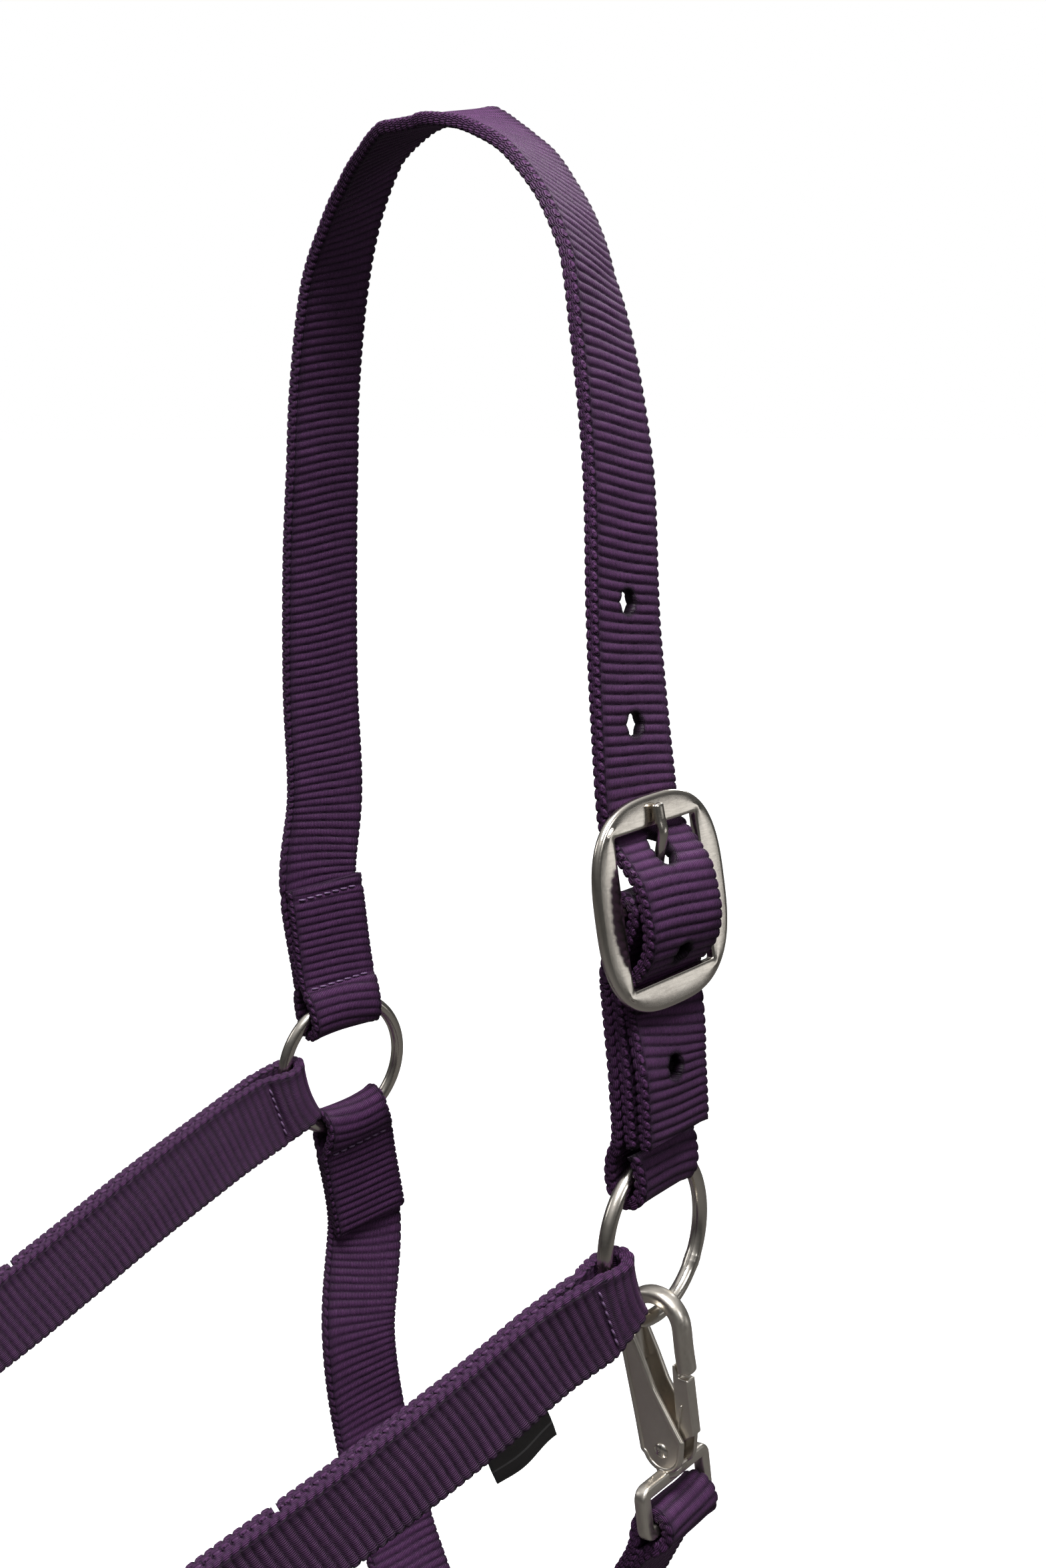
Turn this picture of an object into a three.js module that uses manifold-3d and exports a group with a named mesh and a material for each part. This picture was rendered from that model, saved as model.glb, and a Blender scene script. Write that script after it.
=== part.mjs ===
// A horse's halter (headcollar) of flat nylon webbing, in the shape it keeps on the head.
// Millimetres. +X is the horse's left (near) side, -Y its nose, +Z up. The origin is the middle
// of the crown strap's inner face, where the halter rests on the horse's poll.
// Places below are first given from the midpoint between the two upper rings, and the whole
// group is then lowered so that the poll is the origin.

import * as THREE from "three";
import { mergeVertices } from "three/addons/utils/BufferGeometryUtils.js";
import Module from "manifold-3d";

const wasm = await Module();
wasm.setup();

// ---- Driving dimensions ----

const WEB_WIDTH = 25;
const WEB_PLY = 2.8;
const PLY_GAP = 0.35;
const PINCHED_WIDTH = 20.5; // the webbing gathers where it folds round a ring
const PLY_OFFSET = (WEB_PLY + PLY_GAP) / 2;
const LOOP_CLEARANCE = 0.6;

const RING_RADIUS = 20; // to the middle of the wire
const RING_WIRE = 1.85; // wire radius
const LEAD_RING_RADIUS = 21;
const LEAD_RING_WIRE = 2.4;

const SQUARE_INNER = 31;
const SQUARE_WIRE = 2;
const SQUARE_CORNER = 3.5;

const BUCKLE_HALF_WIDTH = 22;
const BUCKLE_HALF_HEIGHT = 24.7;
const BUCKLE_THICKNESS = 2.2;
const WINDOW_WIDTH = 28;
const WINDOW_HEIGHT = 35;
const BAR_RADIUS = 1.5;
const BAR_SETBACK = 1.2; // the centre bar lies behind the middle of the plate

const HOLE_DIAMETER = 6;
const HOLE_PITCH = 28;
const HOLE_STRETCH = 1.8; // the tongue has drawn its hole out long,
const HOLE_DRAW = 1.2; // towards the bar

const SNAP_BODY_DEPTH = 7;
const SNAP_HOOK_DEPTH = 4.4;
const SNAP_CHANNEL = 4.6;
const GATE_DEPTH = 3;
const RIVET_RADIUS = 1.5;
const GATE_BORE = 1.8;
const SPRING_WIRE = 0.25;
const EYE_WIDTH = 22; // between the eye's two sides
const EYE_WIRE = 1.8;

const TONGUE_WIRE = 1.1;
const HOLE_ABOVE_BAR = 12.5; // the hole the tongue goes through

const LABEL_LENGTH = 16;
const LABEL_HEIGHT = 12;
const LABEL_THICKNESS = 1.2;

const POLL_TILT = 0.17; // radians: the crown strap's rear edge is the higher one
const POLL_FLAT = 14; // length that lies straight
const SKEW = -0.062; // the near side of the arch lies a little further towards the nose

const PURPLE = 0x3b2149;
const NICKEL = 0xc9c4ba;
const BLACK = 0x141414;

// ---- Small vector and frame helpers ----

const vec = (x, y, z) => new THREE.Vector3(x, y, z);
const unit = (x, y, z) => vec(x, y, z).normalize();
const along = (start, ...terms) =>
  terms.reduce((sum, [axis, by]) => sum.addScaledVector(axis, by), start.clone());

// A frame has an origin and three unit axes: across (a strap's width), up and out (its thickness).
function frameOf(origin, out, upHint) {
  const up = upHint.clone().addScaledVector(out, -upHint.dot(out)).normalize();
  return { origin, out, up, across: up.clone().cross(out) };
}

// The same frame turned about its out axis: angle is measured from up towards the nose.
function turned(frame, degrees) {
  const angle = THREE.MathUtils.degToRad(degrees);
  const up = along(vec(0, 0, 0), [frame.up, Math.cos(angle)], [frame.across, -Math.sin(angle)]);
  return { ...frame, up, across: up.clone().cross(frame.out) };
}

// The same frame leaned about a line across it, at a height above its origin.
function leaned(frame, degrees, height) {
  const pivot = along(frame.origin, [frame.up, height]);
  const turn = new THREE.Quaternion().setFromAxisAngle(
    frame.across,
    THREE.MathUtils.degToRad(degrees),
  );
  const up = frame.up.clone().applyQuaternion(turn);
  const out = frame.out.clone().applyQuaternion(turn);
  return { ...frame, up, out, origin: along(pivot, [up, -height]) };
}

const local = (frame, across, up, out) =>
  along(frame.origin, [frame.across, across], [frame.up, up], [frame.out, out]);

// ---- Solids ----

function solidOf(geometry) {
  const bare = geometry.index ? geometry.toNonIndexed() : geometry.clone();
  bare.deleteAttribute("normal");
  bare.deleteAttribute("uv");
  const merged = mergeVertices(bare, 1e-4);
  return new wasm.Manifold(
    new wasm.Mesh({
      numProp: 3,
      vertProperties: merged.attributes.position.array,
      triVerts: new Uint32Array(merged.index.array),
    }),
  );
}

function geometryOf(solid) {
  const mesh = solid.getMesh();
  const geometry = new THREE.BufferGeometry();
  geometry.setAttribute("position", new THREE.BufferAttribute(mesh.vertProperties, 3));
  geometry.setIndex(new THREE.BufferAttribute(mesh.triVerts, 1));
  return geometry;
}

const joined = (...geometries) =>
  geometryOf(geometries.map(solidOf).reduce((whole, piece) => whole.add(piece)));
const cut = (geometry, ...tools) =>
  geometryOf(tools.map(solidOf).reduce((whole, tool) => whole.subtract(tool), solidOf(geometry)));

// Moves a geometry modelled on X across, Y up, Z out into a frame.
function placed(geometry, frame) {
  const matrix = new THREE.Matrix4().makeBasis(frame.across, frame.up, frame.out);
  return geometry.applyMatrix4(matrix.setPosition(frame.origin));
}

// A closed skin over a row of cross-sections, each a list of points in the same turning order.
function skin(sections, closed) {
  const count = sections[0].length;
  const positions = sections.flat().flatMap((point) => point.toArray());
  const indices = [];
  const bands = closed ? sections.length : sections.length - 1;
  for (let band = 0; band < bands; band++) {
    const here = band * count;
    const next = ((band + 1) % sections.length) * count;
    for (let side = 0; side < count; side++) {
      const turn = (side + 1) % count;
      indices.push(here + side, here + turn, next + turn);
      indices.push(here + side, next + turn, next + side);
    }
  }
  if (!closed) {
    const last = (sections.length - 1) * count;
    for (let side = 1; side < count - 1; side++) {
      indices.push(0, side + 1, side);
      indices.push(last, last + side, last + side + 1);
    }
  }
  const geometry = new THREE.BufferGeometry();
  geometry.setAttribute("position", new THREE.Float32BufferAttribute(positions, 3));
  geometry.setIndex(indices);
  return geometry;
}

// A round rod along a row of points; `across` is any direction square to the path.
function rod(points, radius, across, closed = false, sides = 8) {
  const last = points.length - 1;
  const sections = points.map((point, i) => {
    const before = points[closed ? (i + last) % points.length : Math.max(i - 1, 0)];
    const after = points[closed ? (i + 1) % points.length : Math.min(i + 1, last)];
    const tangent = after.clone().sub(before).normalize();
    const out = tangent.clone().cross(across).normalize();
    const side = out.clone().cross(tangent);
    return Array.from({ length: sides }, (_, k) => {
      const angle = (2 * Math.PI * k) / sides;
      return along(point, [side, radius * Math.cos(angle)], [out, radius * Math.sin(angle)]);
    });
  });
  return skin(sections, closed);
}

// ---- Webbing ----

// A knot is a place on a strap's middle line, the direction across it and its width there.
const knot = (at, across, width = WEB_WIDTH) => ({ at, across, width });
const flipped = (knots) => knots.map((k) => ({ ...k, across: k.across.clone().negate() }));

// A band of webbing through a row of knots.
function webbing(knots, step = 7) {
  const curve = new THREE.CatmullRomCurve3(
    knots.map((k) => k.at),
    false,
    "centripetal",
  );
  const stations = [];
  for (let i = 0; i < knots.length - 1; i++) {
    const pieces = Math.max(1, Math.round(knots[i].at.distanceTo(knots[i + 1].at) / step));
    for (let j = 0; j < pieces; j++) stations.push([i, j / pieces]);
  }
  stations.push([knots.length - 2, 1]);
  const sections = stations.map(([i, share]) => {
    const t = (i + share) / (knots.length - 1);
    const tangent = curve.getTangent(t);
    const across = knots[i].across.clone().lerp(knots[i + 1].across, share);
    across.addScaledVector(tangent, -across.dot(tangent)).normalize();
    const out = tangent.clone().cross(across);
    const half = THREE.MathUtils.lerp(knots[i].width, knots[i + 1].width, share) / 2;
    const point = curve.getPoint(t);
    const corner = (side, face) => along(point, [across, side * half], [out, (face * WEB_PLY) / 2]);
    return [corner(-1, -1), corner(1, -1), corner(1, 1), corner(-1, 1)];
  });
  return skin(sections, false);
}

// Knots of a fold round a bar or wire. The frame's up runs from the hardware out along the strap.
// The hardware fills the heights from `low` to `high` and is `half` thick to each side.
// The knots start on the out side at height `lap`, go round, and end on the other side at `back`.
function fold(frame, { low, high, half, lap, back = lap, shift = 0, pinched = PINCHED_WIDTH }) {
  const spread = half + LOOP_CLEARANCE + WEB_PLY / 2;
  const centre = low + half;
  const closed = high + 6.5;
  const at = (height, out, width) => knot(local(frame, shift, height, out), frame.across, width);
  const leg = (side, end) => [
    at(end, side * (end > closed ? PLY_OFFSET : PLY_OFFSET + 1)),
    ...(end > closed + 5 ? [at(closed, side * PLY_OFFSET)] : []),
    at(high + 1.2, side * (spread - 0.5), (WEB_WIDTH + pinched) / 2),
  ];
  const bend = [90, 45, 0, -45, -90].map((degrees) => {
    const angle = THREE.MathUtils.degToRad(degrees);
    return at(centre - spread * Math.cos(angle), spread * Math.sin(angle), pinched);
  });
  return [...leg(1, lap), ...bend, ...leg(-1, back).reverse()];
}

// The space a round ring takes inside a fold: the wire bows outwards across the strap's width.
function ringFold(radius, wire, { shift = 0, pinched = PINCHED_WIDTH, ...options }) {
  const low = Math.sqrt((radius - wire) ** 2 - (pinched / 2 + Math.abs(shift)) ** 2);
  return { low, high: radius + wire, half: wire, shift, pinched, ...options };
}

// The space one side of a square ring takes.
function squareFold(options) {
  const side = SQUARE_INNER / 2 + SQUARE_WIRE;
  const space = { low: side - SQUARE_WIRE, high: side + SQUARE_WIRE, half: SQUARE_WIRE };
  return { ...space, pinched: WEB_WIDTH - 1.5, ...options };
}

// A single strap lapped back on itself at both ends. Its laps are on the inner side.
const lappedStrap = (start, middle, end) =>
  webbing([...start.reverse(), ...middle, ...flipped(end)]);

// A doubled strap: one length of webbing folded round a fitting at each end, its two cut ends
// meeting on the inner side near the second fitting. `middle` holds places between the plies,
// with the direction out of the strap's outer face at each.
function doubledStrap(start, middle, end) {
  const places = middle.map(({ at, out }, i) => {
    const before = middle[Math.max(i - 1, 0)].at;
    const after = middle[Math.min(i + 1, middle.length - 1)].at;
    const across = after.clone().sub(before).cross(out).normalize();
    return { at, out, across };
  });
  const ply = (side) =>
    places.map(({ at, out, across }) => knot(along(at, [out, side * PLY_OFFSET]), across));
  const inner = ply(-1).reverse();
  const meeting = (share) => knot(inner[0].at.clone().lerp(inner[1].at, share), inner[0].across);
  return webbing([
    meeting(0.52),
    ...inner.slice(1),
    ...start.reverse(),
    ...ply(1),
    ...flipped(end),
    inner[0],
    meeting(0.48),
  ]);
}

// ---- Where things are ----

const nearRing = frameOf(vec(71.2, -4.4, 0), unit(0.978, 0.211, 0.05), vec(0, 0, 1));
const farRing = frameOf(vec(-71.2, 4.4, 0), unit(0.999, -0.02, -0.04), vec(0, 0, 1));
const buckle = frameOf(vec(72, -4.4, 82.5), unit(0.985, 0.092, 0.136), unit(-0.13, -0.07, 0.99));
const snap = turned(frameOf(vec(76.4, -3.3, -52.8), unit(0.211, -0.977, 0), vec(0, 0, 1)), 7.9);
const nearSquare = frameOf(vec(46, -178, -80), unit(0.976, -0.217, 0), unit(0, -0.39, 0.92));
const farSquare = frameOf(vec(-72, -180, -76), vec(1, 0, 0), unit(0, -0.39, 0.92));
const leadRing = frameOf(vec(-13, -164, -152), unit(0, -0.1, -0.99), vec(0, 1, 0));
const throatLow = vec(-8, 0, -164);
const poll = vec(-16, 1, 260); // the middle line of the crown strap where it lies flat
const pollAcross = vec(0, Math.cos(POLL_TILT), Math.sin(POLL_TILT));
const pollOut = vec(0, -Math.sin(POLL_TILT), Math.cos(POLL_TILT));

// ---- Rings ----

const roundRing = (frame, radius, wire) =>
  placed(new THREE.TorusGeometry(radius, wire, 10, 40), frame);

// A square ring of round wire with rounded corners, in the plane of its frame.
function squareRing(frame) {
  const straight = SQUARE_INNER / 2 + SQUARE_WIRE - SQUARE_CORNER;
  const cornerSteps = 3;
  const points = [];
  for (let corner = 0; corner < 4; corner++) {
    const middle = (Math.PI / 2) * (corner + 0.5);
    for (let step = 0; step <= cornerSteps; step++) {
      const angle = (Math.PI / 2) * (corner + step / cornerSteps);
      const x = straight * Math.sign(Math.cos(middle)) + SQUARE_CORNER * Math.cos(angle);
      const y = straight * Math.sign(Math.sin(middle)) + SQUARE_CORNER * Math.sin(angle);
      points.push(local(frame, x, y, 0));
    }
  }
  return rod(points, SQUARE_WIRE, frame.out, true);
}

// ---- Buckle ----

function buckleFrame() {
  const outline = new THREE.Shape();
  const sides = 40;
  for (let i = 0; i < sides; i++) {
    const angle = (2 * Math.PI * i) / sides;
    const round = (value) => Math.sign(value) * Math.abs(value) ** 0.72;
    const x = BUCKLE_HALF_WIDTH * round(Math.cos(angle));
    const y = BUCKLE_HALF_HEIGHT * round(Math.sin(angle));
    if (i === 0) outline.moveTo(x, y);
    else outline.lineTo(x, y);
  }
  const [halfWidth, halfHeight] = [WINDOW_WIDTH / 2, WINDOW_HEIGHT / 2];
  const window = new THREE.Path();
  window.moveTo(-halfWidth, -halfHeight);
  window.lineTo(-halfWidth, halfHeight);
  window.lineTo(halfWidth, halfHeight);
  window.lineTo(halfWidth, -halfHeight);
  outline.holes.push(window);
  const plate = new THREE.ExtrudeGeometry(outline, { depth: BUCKLE_THICKNESS, bevelEnabled: false });
  plate.translate(0, 0, -BUCKLE_THICKNESS / 2);
  const bar = new THREE.CylinderGeometry(BAR_RADIUS, BAR_RADIUS, WINDOW_WIDTH + 4, 16);
  bar.rotateZ(Math.PI / 2).translate(0, 0, -BAR_SETBACK);
  return placed(joined(plate, bar), buckle);
}

// The tongue: an eye round the centre bar and an arm that comes up through the strap's hole and
// rests on the top of the plate.
function buckleTongue() {
  const eye = BAR_RADIUS + 0.3 + TONGUE_WIRE;
  const rest = BUCKLE_THICKNESS / 2 + 0.3 + TONGUE_WIRE;
  const points = [];
  for (let degrees = -40; degrees <= 260; degrees += 20) {
    const angle = THREE.MathUtils.degToRad(degrees);
    points.push(vec(0, -eye * Math.cos(angle), -BAR_SETBACK - eye * Math.sin(angle)));
  }
  points.push(vec(0, 3.5, eye - BAR_SETBACK - 0.7));
  points.push(vec(0, HOLE_ABOVE_BAR - 4.5, rest - 2.1));
  points.push(vec(0, HOLE_ABOVE_BAR, rest - 0.7));
  points.push(vec(0, HOLE_ABOVE_BAR + 3.5, rest + 0.5));
  points.push(vec(0, WINDOW_HEIGHT / 2 + 1.5, rest + 0.2));
  points.push(vec(0, WINDOW_HEIGHT / 2 + 4.8, rest));
  return placed(rod(points, TONGUE_WIRE, vec(1, 0, 0)), buckle);
}

// ---- Crown strap and the buckle's own strap ----

const onBuckle = (up, out) => knot(local(buckle, 0, up, out), buckle.across);
const BEHIND_PLATE = -(BUCKLE_THICKNESS / 2 + PLY_GAP + WEB_PLY / 2);
const OVER_BAR = -BAR_SETBACK + BAR_RADIUS + 2 * PLY_GAP + 1.5 * WEB_PLY;

// From the lap at the far ring, round it, up over the poll, through the buckle to the tail. Over
// the arch the strap twists: its rear edge stands out on the far side and in on the near side.
function crownKnots() {
  const nearAcross = unit(-0.2, 0.98, 0.02);
  const arch = (x, z, acrossX, acrossZ) => knot(vec(x, SKEW * x, z), unit(acrossX, 1, acrossZ));
  const lap = ringFold(RING_RADIUS, RING_WIRE, { lap: 56, pinched: WEB_WIDTH - 2 });
  return [
    ...fold(leaned(turned(farRing, 4), -8, RING_RADIUS - 2), lap),
    arch(-77.5, 80, -0.02, 0.1),
    arch(-78.5, 112, -0.04, 0.06),
    arch(-77, 150, -0.08, 0.04),
    arch(-74.6, 175, -0.15, 0),
    arch(-72.4, 196, -0.19, 0.03),
    arch(-65.5, 224, -0.23, 0.1),
    arch(-57.5, 238.4, -0.29, 0.24),
    arch(-46.8, 250.5, -0.27, 0.36),
    arch(-34, 257.4, -0.14, 0.3),
    ...[-1, -0.5, 0.5, 1].map((end) => knot(along(poll, [vec(end, 0, 0), POLL_FLAT / 2]), pollAcross)),
    arch(0, 257.8, 0, 0.02),
    arch(9.4, 254.6, -0.04, -0.11),
    arch(16.5, 251.4, -0.07, -0.17),
    arch(25.3, 245.7, -0.16, -0.28),
    arch(36.5, 234.8, -0.32, -0.28),
    arch(43.5, 223, -0.43, -0.23),
    arch(48.9, 207, -0.33, -0.1),
    arch(55, 179, -0.24, -0.03),
    knot(vec(59.8, -5.6, 143), nearAcross),
    onBuckle(27, BEHIND_PLATE - 0.5),
    onBuckle(19.5, BEHIND_PLATE - 0.8),
    onBuckle(16.6, BEHIND_PLATE + 0.1),
    onBuckle(13, -0.3),
    onBuckle(9.5, 2.3),
    onBuckle(6, 4.4),
    onBuckle(0, OVER_BAR + 0.2),
    onBuckle(-5, OVER_BAR + 0.3),
    onBuckle(-10.5, 3.8),
    onBuckle(-14.2, 0.5),
    onBuckle(-17, BEHIND_PLATE + 0.1),
    onBuckle(-20, BEHIND_PLATE - 0.6),
    onBuckle(-26, BEHIND_PLATE - 0.6),
    knot(vec(75.2, -3.7, 44), nearAcross),
    knot(vec(76.6, -3.4, 27), nearAcross),
  ];
}

// The buckle holes: one at the tongue, two above it and two below.
function crownStrap() {
  const holes = [
    [HOLE_ABOVE_BAR + 2 * HOLE_PITCH, -8],
    [HOLE_ABOVE_BAR + HOLE_PITCH, -4],
    [HOLE_ABOVE_BAR, 0],
    [HOLE_ABOVE_BAR - HOLE_PITCH + 4, 0],
    [HOLE_ABOVE_BAR - 2 * HOLE_PITCH + 4, 0],
  ];
  const punches = holes.map(([up, out]) => {
    const punch = new THREE.CylinderGeometry(HOLE_DIAMETER / 2, HOLE_DIAMETER / 2, 12, 16);
    const drawn = up === HOLE_ABOVE_BAR;
    punch.rotateX(Math.PI / 2).scale(1, drawn ? HOLE_STRETCH : 1, 1);
    punch.translate(0, drawn ? up - HOLE_DRAW : up, out);
    return placed(punch, buckle);
  });
  return cut(webbing(crownKnots()), ...punches);
}

// The short strap that ties the buckle's centre bar to the near ring. Its cut ends meet on the
// outer side, just above the ring and under the crown strap's tail.
function chapeStrap() {
  const ring = ringFold(RING_RADIUS, RING_WIRE, { lap: 24.5, back: 42, pinched: WEB_WIDTH - 2 });
  const spread = BAR_RADIUS + PLY_GAP + WEB_PLY / 2;
  const round = [180, 135, 90, 45, 0].map((degrees) => {
    const angle = THREE.MathUtils.degToRad(degrees);
    return onBuckle(spread * Math.sin(angle), spread * Math.cos(angle) - BAR_SETBACK);
  });
  const front = BEHIND_PLATE - 0.8 - 2 * PLY_OFFSET;
  const backLeg = [
    onBuckle(-19, front - 2 * PLY_OFFSET),
    onBuckle(-14, front - 2 * PLY_OFFSET + 0.8),
    onBuckle(-7, -BAR_SETBACK - spread - 1.4),
  ];
  const frontLeg = [
    onBuckle(-7.5, -1.7),
    onBuckle(-14.5, front + 0.4),
    onBuckle(-19, front),
    knot(local(nearRing, 0, 42, PLY_OFFSET), nearRing.across),
    knot(local(nearRing, 0, 26, PLY_OFFSET + 1), nearRing.across),
  ];
  const slot = new THREE.BoxGeometry(2 * TONGUE_WIRE + 1.6, 14, 14).translate(0, 1.5, -BAR_SETBACK);
  const band = webbing([...fold(nearRing, ring), ...backLeg, ...round, ...frontLeg]);
  return cut(band, placed(slot, buckle));
}

// ---- Cheek straps ----

const nearCheekPath = [
  { at: vec(74, -40.3, -16.2), out: unit(0.98, -0.15, 0) },
  { at: vec(71.2, -54, -24), out: unit(0.98, -0.19, 0) },
  { at: vec(68, -69.7, -32), out: unit(0.98, -0.2, 0) },
  { at: vec(64.3, -87.5, -40.6), out: unit(0.98, -0.2, 0) },
  { at: vec(59, -112, -51.5), out: unit(0.98, -0.2, 0) },
];
const farCheekPath = [
  { at: vec(-71.5, -34, -13.4), out: vec(1, 0, 0) },
  { at: vec(-71.5, -46, -18.4), out: vec(1, 0, 0) },
  { at: vec(-71.5, -64, -26.2), out: vec(1, 0, 0) },
  { at: vec(-71.5, -86, -36.6), out: vec(1, 0, 0) },
  { at: vec(-71.5, -108, -46.5), out: vec(1, 0, 0) },
];

const nearCheekStrap = () =>
  doubledStrap(
    fold(turned(nearRing, 104), ringFold(RING_RADIUS, RING_WIRE, { lap: 26, shift: -2.6 })),
    nearCheekPath,
    fold(turned(nearSquare, -90), squareFold({ lap: 40 })),
  );

const farCheekStrap = () =>
  doubledStrap(
    fold(turned(farRing, 107), ringFold(RING_RADIUS, RING_WIRE, { lap: 26 })),
    farCheekPath,
    fold(turned(farSquare, -90), squareFold({ lap: 40 })),
  );

// A folded cloth label whose top edge is sewn to the lower edge of the near cheek strap.
function label() {
  const { at, out } = nearCheekPath[1];
  const direction = nearCheekPath[2].at.clone().sub(nearCheekPath[0].at).normalize();
  const up = direction.clone().cross(out).normalize();
  const drop = WEB_WIDTH / 2 + PLY_GAP + LABEL_HEIGHT / 2;
  const leaf = new THREE.BoxGeometry(LABEL_LENGTH, LABEL_HEIGHT, LABEL_THICKNESS, 4, 1, 1);
  return placed(leaf, frameOf(along(at, [up, -drop]), out, up));
}

// ---- Noseband, chin straps and jaw strap ----

function noseband() {
  const across = vec(0, 0.92, 0.39);
  const farOuter = frameOf(farSquare.origin, farSquare.out.clone().negate(), farSquare.up);
  return lappedStrap(
    fold(nearSquare, squareFold({ lap: 52 })),
    [
      knot(vec(40, -204, -20), across),
      knot(vec(20, -210, -5), across),
      knot(vec(-13, -212, 1), across),
      knot(vec(-46, -211, -3), across),
      knot(vec(-65, -206, -18), across),
    ],
    fold(farOuter, squareFold({ lap: 50 })),
  );
}

// From the bottom of a square to the lead ring under the chin. Side is 1 near, -1 far.
function chinStrap(square, side, bends) {
  const outer = frameOf(square.origin, square.out.clone().multiplyScalar(side), square.up);
  const ring = ringFold(LEAD_RING_RADIUS, LEAD_RING_WIRE, { lap: 36 });
  return lappedStrap(
    fold(turned(outer, 180), squareFold({ lap: 34 })),
    bends.map((at) => knot(at, vec(0, -side, -0.2 * side))),
    fold(turned(leadRing, side * 100), ring),
  );
}

// From the lead ring back to the throat strap, which runs through the fold at its rear end.
function jawStrap() {
  const throat = frameOf(throatLow, leadRing.out, vec(0, -1, -0.05));
  const passing = WEB_WIDTH / 2 + 0.8;
  const space = { low: -passing, high: passing, half: WEB_PLY / 2, pinched: WEB_WIDTH };
  return doubledStrap(
    fold(leadRing, ringFold(LEAD_RING_RADIUS, LEAD_RING_WIRE, { lap: 38 })),
    [
      { at: vec(-12, -108, -157), out: leadRing.out },
      { at: vec(-11, -88, -159.5), out: leadRing.out },
      { at: vec(-10, -66, -161.5), out: leadRing.out },
    ],
    fold(throat, { ...space, lap: 40 }),
  );
}

// ---- Throat strap ----

// From the lap at the far ring, round it, down under the throat and up round the snap's eye.
function throatStrap() {
  const across = vec(0, -1, 0);
  const lowAcross = leadRing.out.clone().cross(vec(1, 0, 0));
  const hang = unit(-0.44, -0.095, -0.9);
  const eye = frameOf(snapEyeBar(), hang.clone().cross(snap.out), hang);
  const bar = { low: -EYE_WIRE, high: EYE_WIRE, half: EYE_WIRE, lap: 30, back: 42 };
  return webbing([
    ...fold(turned(farRing, 190), ringFold(RING_RADIUS, RING_WIRE, { lap: 54 })),
    knot(vec(-64.5, 3.9, -85), across),
    knot(vec(-58, 3.6, -115), across),
    knot(vec(-45, 2.7, -140), across),
    knot(vec(-33, 1.5, -155), across),
    ...[-16, -8, 8, 16].map((x) => knot(along(throatLow, [vec(x, 0, 0), 1]), lowAcross)),
    knot(vec(22, -1.5, -157), across),
    knot(vec(40, -3, -139), across),
    knot(vec(53, -4, -119), across),
    ...flipped(fold(eye, { ...bar, pinched: EYE_WIDTH - 1.2 })),
  ]);
}

// ---- Snap hook ----

const EYE_DROP = 17; // from the rivet down to the eye's bar
const SNAP_ARCH = 31.3; // from the rivet up to the middle of the hook's arch

const snapEyeBar = () => local(snap, 0, -EYE_DROP, 0);

// The hook and spine as a flat outline round the rivet at (0, 0): X across, Y up.
function hookOutline() {
  const outline = new THREE.Shape();
  outline.moveTo(9.3, SNAP_ARCH - 11.3);
  outline.absarc(0, SNAP_ARCH, 9.3, 0, Math.PI, false);
  outline.lineTo(-6.9, 8);
  outline.lineTo(-5.9, -1.5);
  outline.absarc(0.2, 0, 5.4, Math.PI * 1.15, Math.PI * 1.95, false);
  outline.lineTo(6.4, 3);
  outline.lineTo(3.3, 9);
  outline.lineTo(-0.2, 15.8);
  outline.lineTo(-2.4, 23.4);
  outline.absarc(0, SNAP_ARCH - 1, 5.2, Math.PI, 0, true);
  outline.lineTo(5.2, SNAP_ARCH - 10.5);
  outline.lineTo(6.4, SNAP_ARCH - 11.7);
  return outline;
}

function extruded(outline, depth) {
  const solid = new THREE.ExtrudeGeometry(outline, { depth, bevelEnabled: false, curveSegments: 14 });
  return solid.translate(0, 0, -depth / 2);
}

// One casting: hook, spine with a channel for the gate, and the strap eye turned square to it.
function snapBody() {
  const outline = hookOutline();
  const hook = extruded(outline, SNAP_HOOK_DEPTH);
  const spineOnly = new THREE.BoxGeometry(40, 24, 20).translate(0, 5.5, 0);
  const spine = geometryOf(
    solidOf(extruded(outline, SNAP_BODY_DEPTH)).intersect(solidOf(spineOnly)),
  );
  const channel = new THREE.Shape();
  channel.moveTo(-3.6, -3.9);
  channel.lineTo(12, -3.9);
  channel.lineTo(12, 21);
  channel.lineTo(-5.4, 21);
  channel.lineTo(-4.9, 9);
  channel.lineTo(-3.6, 0);
  const body = cut(joined(hook, spine), extruded(channel, SNAP_CHANNEL));
  const bore = new THREE.CylinderGeometry(RIVET_RADIUS + 0.25, RIVET_RADIUS + 0.25, 20, 20);
  return placed(joined(cut(body, bore.rotateX(Math.PI / 2)), snapEye()), snap);
}

// The rectangular strap eye below the rivet, in the plane across the hook's own plane.
function snapEye() {
  const reach = EYE_WIDTH / 2 + EYE_WIRE;
  const top = -6.7;
  const block = (width, height, depth, x, y, z) =>
    new THREE.BoxGeometry(width, height, depth).translate(x, y, z);
  const side = EYE_DROP + top;
  return joined(
    block(2 * EYE_WIRE, 2 * EYE_WIRE, 2 * reach + 2 * EYE_WIRE, 0, top, 0),
    new THREE.CylinderGeometry(EYE_WIRE, EYE_WIRE, 2 * reach, 16)
      .rotateX(Math.PI / 2)
      .translate(0, -EYE_DROP, 0),
    block(2 * EYE_WIRE, side, 2 * EYE_WIRE, 0, top - side / 2, reach),
    block(2 * EYE_WIRE, side, 2 * EYE_WIRE, 0, top - side / 2, -reach),
    block(2 * EYE_WIRE + 1, 2.4, SNAP_BODY_DEPTH, 0, top + 1.2, 0),
  );
}

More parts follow.
